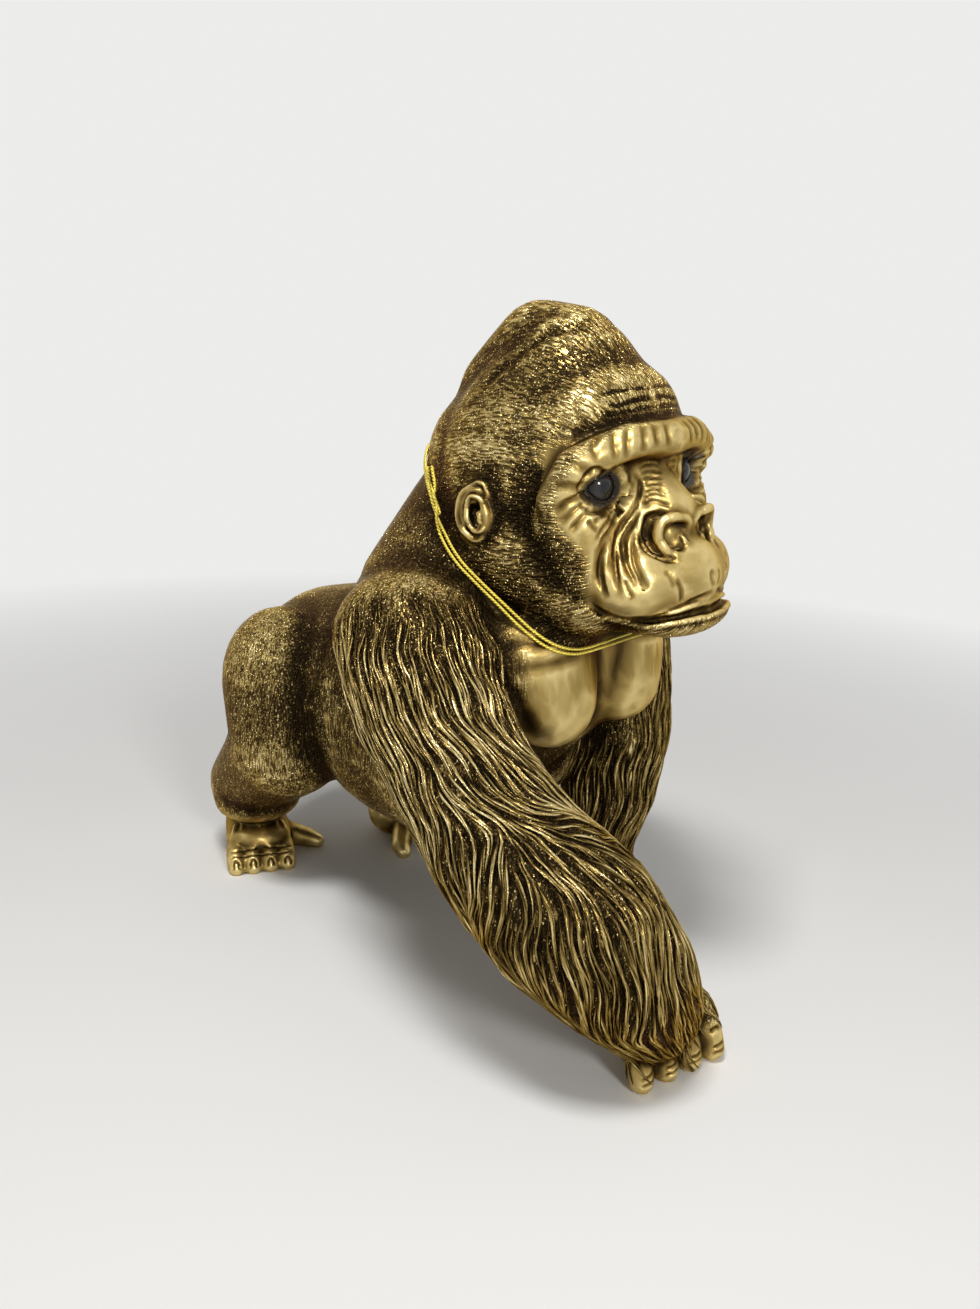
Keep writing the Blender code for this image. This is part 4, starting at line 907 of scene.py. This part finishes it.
# The tag thread: two plies of metallic yellow-gold yarn, twisted together and tied round the neck
THREAD_ROUTE = (
    (-41.5, -21.2, 198.2), (-43.3, -24.5, 191.9), (-43.8, -24.6, 188.9), (-43, -25.3, 185.5),
    (-43, -25.3, 181.7), (-41.9, -25.1, 178), (-41.7, -26.7, 174.4), (-43.3, -31.6, 170.6),
    (-43.8, -36.7, 166.7), (-42.9, -41.8, 162.8), (-41.6, -46.9, 158.8), (-40.2, -52.4, 154.6),
    (-38.7, -58.3, 149.9), (-36.2, -64.6, 145.1), (-31.4, -69.6, 141.2), (-24.2, -72.3, 139.2),
    (-16.2, -72.9, 138.7), (-8.5, -72.9, 138.7), (-1.3, -72.9, 138.8), (5.7, -72.8, 138.9),
    (12.8, -72.8, 139), (20.3, -72.7, 139), (28.3, -72.4, 139.3), (36.1, -70.8, 140.6),
    (41.8, -66.6, 143.9), (44.7, -60.5, 148.7), (46.4, -54.4, 153.5), (47.9, -48.9, 157.8),
    (49.3, -43.7, 161.9), (50.4, -38.6, 165.9), (50.6, -33.5, 169.9), (49.6, -28.6, 173.8),
    (47.4, -23.9, 177.5), (44.6, -19.5, 181), (41.7, -15.3, 184.3), (38.7, -11.1, 187.6),
    (35.6, -6.7, 191), (32, -2.2, 194.6), (27.6, 2.3, 198.1), (22, 6.1, 201.1), (15.5, 9, 203.5),
    (8.3, 10.7, 204.8), (0.7, 10.8, 204.9), (-6.6, 9.6, 204), (-13.4, 7, 202), (-19.3, 3.4, 199.2),
    (-24.1, -0.9, 195.9), (-27.9, -5.4, 192.4), (-31.1, -9.9, 188.9), (-33.9, -14.3, 185.6),
    (-36.7, -18.6, 182.3), (-38.9, -23, 178.9), (-40.6, -27.6, 175.3), (-42.2, -32.4, 171.6),
    (-42.8, -37.4, 167.7), (-42.1, -42.4, 163.9), (-40.8, -47.4, 160), (-39.2, -52.7, 155.9),
    (-37.5, -58.4, 151.5), (-35.1, -64.4, 146.8), (-30.6, -69.5, 142.9), (-23.7, -72.3, 140.8),
    (-15.9, -73, 140.2), (-8.3, -72.9, 140.3), (-1.2, -72.8, 140.5), (5.7, -72.7, 140.6),
    (12.6, -72.5, 140.7), (19.8, -72.4, 140.9), (27.6, -72.1, 141.2), (35.1, -70.5, 142.4),
    (40.6, -66.3, 145.7), (43.5, -60.4, 150.3), (45.4, -54.6, 154.9), (47.1, -49.4, 159),
    (48.7, -44.3, 163), (50, -39.4, 166.9), (50.3, -34.3, 170.9), (49.2, -29.4, 174.8), (47, -24.7, 178.4),
    (44.3, -20.4, 181.9), (41.5, -16.1, 185.2), (38.7, -11.8, 188.6), (35.7, -7.4, 192.1),
    (32.2, -2.7, 195.8), (27.8, 1.8, 199.3), (22.2, 5.7, 202.4), (15.7, 8.7, 204.8), (8.3, 10.3, 206.1),
    (0.7, 10.5, 206.3), (-6.8, 9.3, 205.3), (-13.6, 6.7, 203.3), (-19.5, 3, 200.5), (-24.3, -1.4, 197.1),
    (-28, -6.1, 193.5), (-31, -10.8, 189.9), (-33.5, -15.2, 186.4), (-35.9, -19.5, 183.1),
    (-38, -21.8, 181.7), (-39.5, -20.6, 184.5), (-40.3, -19.7, 188.6), (-40.5, -19.1, 193),
    (-41.2, -19, 197.9),
)
PLY_RADIUS = 0.33
PLY_OFFSET = 0.29
TWIST_LENGTH = 2.6
STEPS_PER_TWIST = 7


YARN_PAINT = ((0.3, (0.62, 0.44, 0.03)), (0.7, (0.95, 0.82, 0.16)))


def twisted_thread():
    """Two plies wound round the thread's middle line."""
    middle = smoothed_path(np.array(THREAD_ROUTE) * MM, 12)
    along = np.concatenate([[0], np.cumsum(np.linalg.norm(np.diff(middle, axis=0), axis=1))])
    count = int(along[-1] / (TWIST_LENGTH * MM / STEPS_PER_TWIST))
    even = np.linspace(0, along[-1], count)
    middle = np.stack([np.interp(even, along, middle[:, axis]) for axis in range(3)], axis=1)
    ahead = np.gradient(middle, axis=0)
    ahead = ahead / np.linalg.norm(ahead, axis=1)[:, None]
    side = np.cross(ahead, (0.3, 0.2, 1.0))
    side = side / np.linalg.norm(side, axis=1)[:, None]
    rise = np.cross(side, ahead)
    curve = bpy.data.curves.new("twisted_thread", "CURVE")
    curve.dimensions = "3D"
    curve.bevel_depth = PLY_RADIUS * MM
    curve.bevel_resolution = 1
    curve.use_fill_caps = True
    for ply in (0, math.pi):
        angle = even / (TWIST_LENGTH * MM) * math.tau + ply
        route = middle + (side * np.cos(angle)[:, None] + rise * np.sin(angle)[:, None]) * PLY_OFFSET * MM
        spline = curve.splines.new("POLY")
        spline.points.add(len(route) - 1)
        spline.points.foreach_set("co", np.concatenate([route, np.ones((len(route), 1))], axis=1).ravel())
    thread = made_mesh("twisted_thread", curve)
    thread.data.shade_smooth()
    made, tree, shader = material("gold_yarn")
    place = joined(tree, "ShaderNodeTexCoord").outputs["Object"]
    fibres = texture(tree, "Noise", place, 2600.0, detail=2.0).outputs["Fac"]
    tree.links.new(ramp(tree, fibres, YARN_PAINT), shader.inputs["Base Color"])
    shader.inputs["Metallic"].default_value = 0.45
    shader.inputs["Roughness"].default_value = 0.38
    thread.data.materials.append(made)
    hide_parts("tag_thread")
    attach(thread, "root")


twisted_thread()


# The stage: a pale floor that rises into a pale wall behind the figurine. Far from it the floor glows
# as seen, so that it runs into the pale world, and sheds no more light for that.
BEND_START, BEND_RADIUS = 1.2, 0.8
HALF_WIDTH = 4
WALL_TURN = -50
GLOW_START, GLOW_END = 0.22, 0.8
LIT_STRENGTH, SEEN_STRENGTH = 0.33, 0.67

sweep = bmesh.new()
angles = np.linspace(0, math.pi / 2, 17)
bend = [(BEND_START + BEND_RADIUS * math.sin(a), BEND_RADIUS - BEND_RADIUS * math.cos(a)) for a in angles]
profile = [(-3.0, 0.0), *bend, (BEND_START + BEND_RADIUS, 3.0)]
edge = [sweep.verts.new((-HALF_WIDTH, across, height)) for across, height in profile]
chain = [sweep.edges.new(pair) for pair in zip(edge, edge[1:])]
drawn = bmesh.ops.extrude_edge_only(sweep, edges=chain)["geom"]
drawn = [item for item in drawn if isinstance(item, bmesh.types.BMVert)]
bmesh.ops.translate(sweep, verts=drawn, vec=(2 * HALF_WIDTH, 0, 0))
bmesh.ops.rotate(sweep, verts=sweep.verts, matrix=Matrix.Rotation(math.radians(WALL_TURN), 3, "Z"))
bmesh.ops.recalc_face_normals(sweep, faces=sweep.faces)
floor_data = bpy.data.meshes.new("floor")
sweep.to_mesh(floor_data)
sweep.free()
floor_data.shade_smooth()
floor = linked("floor", floor_data)


def seen_only(tree):
    """1 for rays that see the background, straight, mirrored or through glass, and 0 for its light."""
    path = tree.nodes.new("ShaderNodeLightPath")
    seen = maths(tree, "MAXIMUM", path.outputs["Is Camera Ray"], path.outputs["Is Transmission Ray"])
    return maths(tree, "MAXIMUM", seen, path.outputs["Is Glossy Ray"])


pale, ground, matt = material("pale_floor")
matt.inputs["Base Color"].default_value = (0.8, 0.79, 0.77, 1)
matt.inputs["Roughness"].default_value = 0.9
spot = joined(ground, "ShaderNodeTexCoord").outputs["Object"]
far = joined(ground, "ShaderNodeVectorMath", {0: spot}, operation="LENGTH").outputs["Value"]
far = maths(ground, "MULTIPLY", steep(ground, far, GLOW_START, GLOW_END), seen_only(ground))
glow = joined(ground, "ShaderNodeEmission", {"Color": (0.84, 0.84, 0.83, 1), "Strength": 1.0}).outputs[0]
blend = joined(ground, "ShaderNodeMixShader", {0: far, 1: matt.outputs[0], 2: glow})
ground.links.new(blend.outputs[0], ground.nodes["Material Output"].inputs["Surface"])
floor_data.materials.append(pale)

# The pale world lights the figurine with a third of the strength that it is seen with
scene = bpy.context.scene
scene.world = bpy.data.worlds.new("studio")
scene.world.use_nodes = True
sky = scene.world.node_tree
background = sky.nodes["Background"]
background.inputs["Color"].default_value = (0.8, 0.8, 0.8, 1)
strength = maths(sky, "MULTIPLY_ADD", seen_only(sky), SEEN_STRENGTH, LIT_STRENGTH)
sky.links.new(strength, background.inputs["Strength"])


def lamp(name, place, target, size, power):
    """A soft rectangular lamp at a place, turned to a target, with its power in watts."""
    light = bpy.data.lights.new(name, "AREA")
    light.shape = "RECTANGLE"
    light.size, light.size_y = size
    light.energy = power
    obj = linked(name, light)
    obj.location = place
    obj.rotation_mode = "QUATERNION"
    obj.rotation_quaternion = (Vector(target) - Vector(place)).to_track_quat("-Z", "Y")


lamp("overhead_lamp", (-0.3, -0.15, 0.85), (0, -0.03, 0.12), (0.22, 0.16), 4.8)
lamp("window_lamp", (-0.47, -1.0, 0.6), (0, 0, 0.13), (0.22, 0.22), 5)

# The camera at the photograph's angle: its place, its own three directions and its focal length, the
# last in pixels of a picture so many pixels high
CAMERA_PLACE = Vector((-0.2917, -0.2447, 0.227))
CAMERA_RIGHT = Vector((0.6502, -0.7589, 0.037))
CAMERA_UP = Vector((0.1799, 0.2011, 0.9629))
CAMERA_AHEAD = Vector((0.7382, 0.6194, -0.2672))
FOCAL_PIXELS = 985
PICTURE_PIXELS = 1309
SENSOR = 36

camera_data = bpy.data.cameras.new("camera")
camera_data.sensor_width = SENSOR
camera_data.lens = FOCAL_PIXELS / PICTURE_PIXELS * SENSOR
camera_data.clip_start = 0.01
camera = linked("camera", camera_data)
turn = Matrix((CAMERA_RIGHT, CAMERA_UP, -CAMERA_AHEAD)).transposed().to_4x4()
camera.matrix_world = Matrix.Translation(NOTED_FRAME @ CAMERA_PLACE) @ turn
scene.camera = camera
scene.view_settings.view_transform = "Standard"
